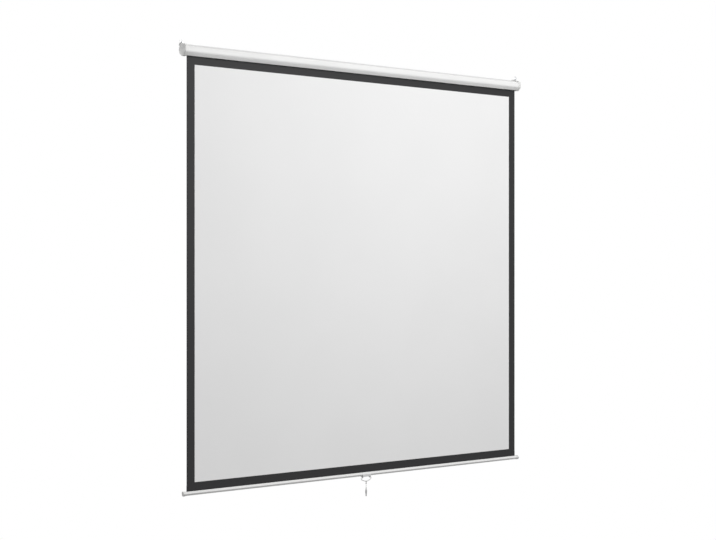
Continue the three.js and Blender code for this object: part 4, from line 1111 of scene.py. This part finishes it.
def make_floor(stage):
    """A pale floor that keeps the object's shadow, turns to the backdrop's white further out and
    is clear from below. The disc's faces point down, so a camera above it sees their backs."""
    ring = np.linspace(0, 1, 33) ** 1.5 * FLOOR_RADIUS
    grid = turned(np.stack([ring, np.zeros(33)], 1), 96, centre=(0, 0, -stage.floor_drop))
    floor = place(mesh_of("floor", [skin(grid, False)]))
    finish = Finish("floor")
    x, y, _ = finish.axes(finish.coordinates())
    seen = seen_directly(finish)
    fade = seen * finish.between((x * x + y * y).root(), *FLOOR_FADE)
    tone = finish.mixed(seen, opaque([stage.ground] * 3), opaque([FLOOR_TONE] * 3))
    matt = finish.node("ShaderNodeBsdfDiffuse", inputs={"Color": tone})
    mixed = finish.blended(fade, matt, finish.backdrop("ShaderNodeEmission", 1.0))
    above = finish.signal("ShaderNodeNewGeometry", output="Backfacing")
    sided = finish.blended(above, finish.node("ShaderNodeBsdfTransparent"), mixed)
    finish.node("ShaderNodeOutputMaterial", inputs={"Surface": sided.outputs[0]})
    floor.data.materials.append(finish.material)


# Operators, one for each group of pieces and one for the stage

class SCREEN_OT_stage(bpy.types.Operator):
    """Make the camera, the lamps, the world and the floor"""

    bl_idname = "screen.stage"
    bl_label = "Stage"

    def execute(self, context):
        _, _, stage = settings()
        make_camera(stage)
        for name, (location, target) in LAMPS.items():
            make_lamp(name, getattr(stage, f"{name}_power"), stage.lamp_size, location, target)
        make_world(stage)
        make_floor(stage)
        return {"FINISHED"}


class SCREEN_OT_pull_cord(bpy.types.Operator):
    """Make the pull cord with its knot and toggle"""

    bl_idname = "screen.pull_cord"
    bl_label = "Pull cord"

    def execute(self, context):
        make_cord(settings()[0])
        return {"FINISHED"}


class SCREEN_OT_inner_parts(bpy.types.Operator):
    """Finish the roller, the lock and the other CAD nodes, and wind the spring"""

    bl_idname = "screen.inner_parts"
    bl_label = "Inner parts"

    def execute(self, context):
        dress_nodes()
        make_spring(settings()[0])
        return {"FINISHED"}


class SCREEN_OT_cloth(bpy.types.Operator):
    """Make the cloth with its border and the turns left on the roller"""

    bl_idname = "screen.cloth"
    bl_label = "Cloth"

    def execute(self, context):
        make_cloth(settings()[0])
        make_roll()
        return {"FINISHED"}


class SCREEN_OT_casing(bpy.types.Operator):
    """Make the casing, its end caps and their screws"""

    bl_idname = "screen.casing"
    bl_label = "Casing"

    def execute(self, context):
        sizes = settings()[0]
        make_casing(sizes)
        make_end_caps(sizes)
        make_cap_screws()
        return {"FINISHED"}


class SCREEN_OT_rings(bpy.types.Operator):
    """Make the hanging rings"""

    bl_idname = "screen.rings"
    bl_label = "Hanging rings"

    def execute(self, context):
        make_rings(settings()[0])
        return {"FINISHED"}


class SCREEN_OT_bottom_bar(bpy.types.Operator):
    """Make the bottom bar with its end caps"""

    bl_idname = "screen.bottom_bar"
    bl_label = "Bottom bar"

    def execute(self, context):
        make_bar(settings()[0])
        return {"FINISHED"}


class SCREEN_OT_handle(bpy.types.Operator):
    """Make the handle, its bracket and rivets"""

    bl_idname = "screen.handle"
    bl_label = "Handle"

    def execute(self, context):
        make_bracket(settings()[0])
        make_handle()
        return {"FINISHED"}


class SCREEN_PT_panel(bpy.types.Panel):
    """Lists the sizes, colours and steps"""

    bl_idname = "SCREEN_PT_panel"
    bl_label = "Projection screen"
    bl_space_type = "VIEW_3D"
    bl_region_type = "UI"
    bl_category = "Screen"

    def draw(self, context):
        for group in settings():
            column = self.layout.box().column()
            for name in group.__annotations__:
                column.prop(group, name)
        for step in STEPS:
            self.layout.operator(step.bl_idname)


STEPS = [
    SCREEN_OT_stage, SCREEN_OT_pull_cord, SCREEN_OT_inner_parts, SCREEN_OT_cloth,
    SCREEN_OT_casing, SCREEN_OT_rings, SCREEN_OT_bottom_bar, SCREEN_OT_handle,
]
CLASSES = [ScreenSizes, ScreenColours, StageSettings, *STEPS, SCREEN_PT_panel]


def register():
    for each in CLASSES:
        bpy.utils.register_class(each)
    bpy.types.Scene.screen_sizes = PointerProperty(type=ScreenSizes)
    bpy.types.Scene.screen_colours = PointerProperty(type=ScreenColours)
    bpy.types.Scene.screen_stage = PointerProperty(type=StageSettings)


def unregister():
    del bpy.types.Scene.screen_stage
    del bpy.types.Scene.screen_colours
    del bpy.types.Scene.screen_sizes
    for each in reversed(CLASSES):
        bpy.utils.unregister_class(each)


def main():
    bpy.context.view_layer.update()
    register()
    bpy.context.scene.view_settings.view_transform = "Standard"
    for step in STEPS:
        getattr(bpy.ops.screen, step.bl_idname.split(".")[1])()


if __name__ == "__main__":
    main()
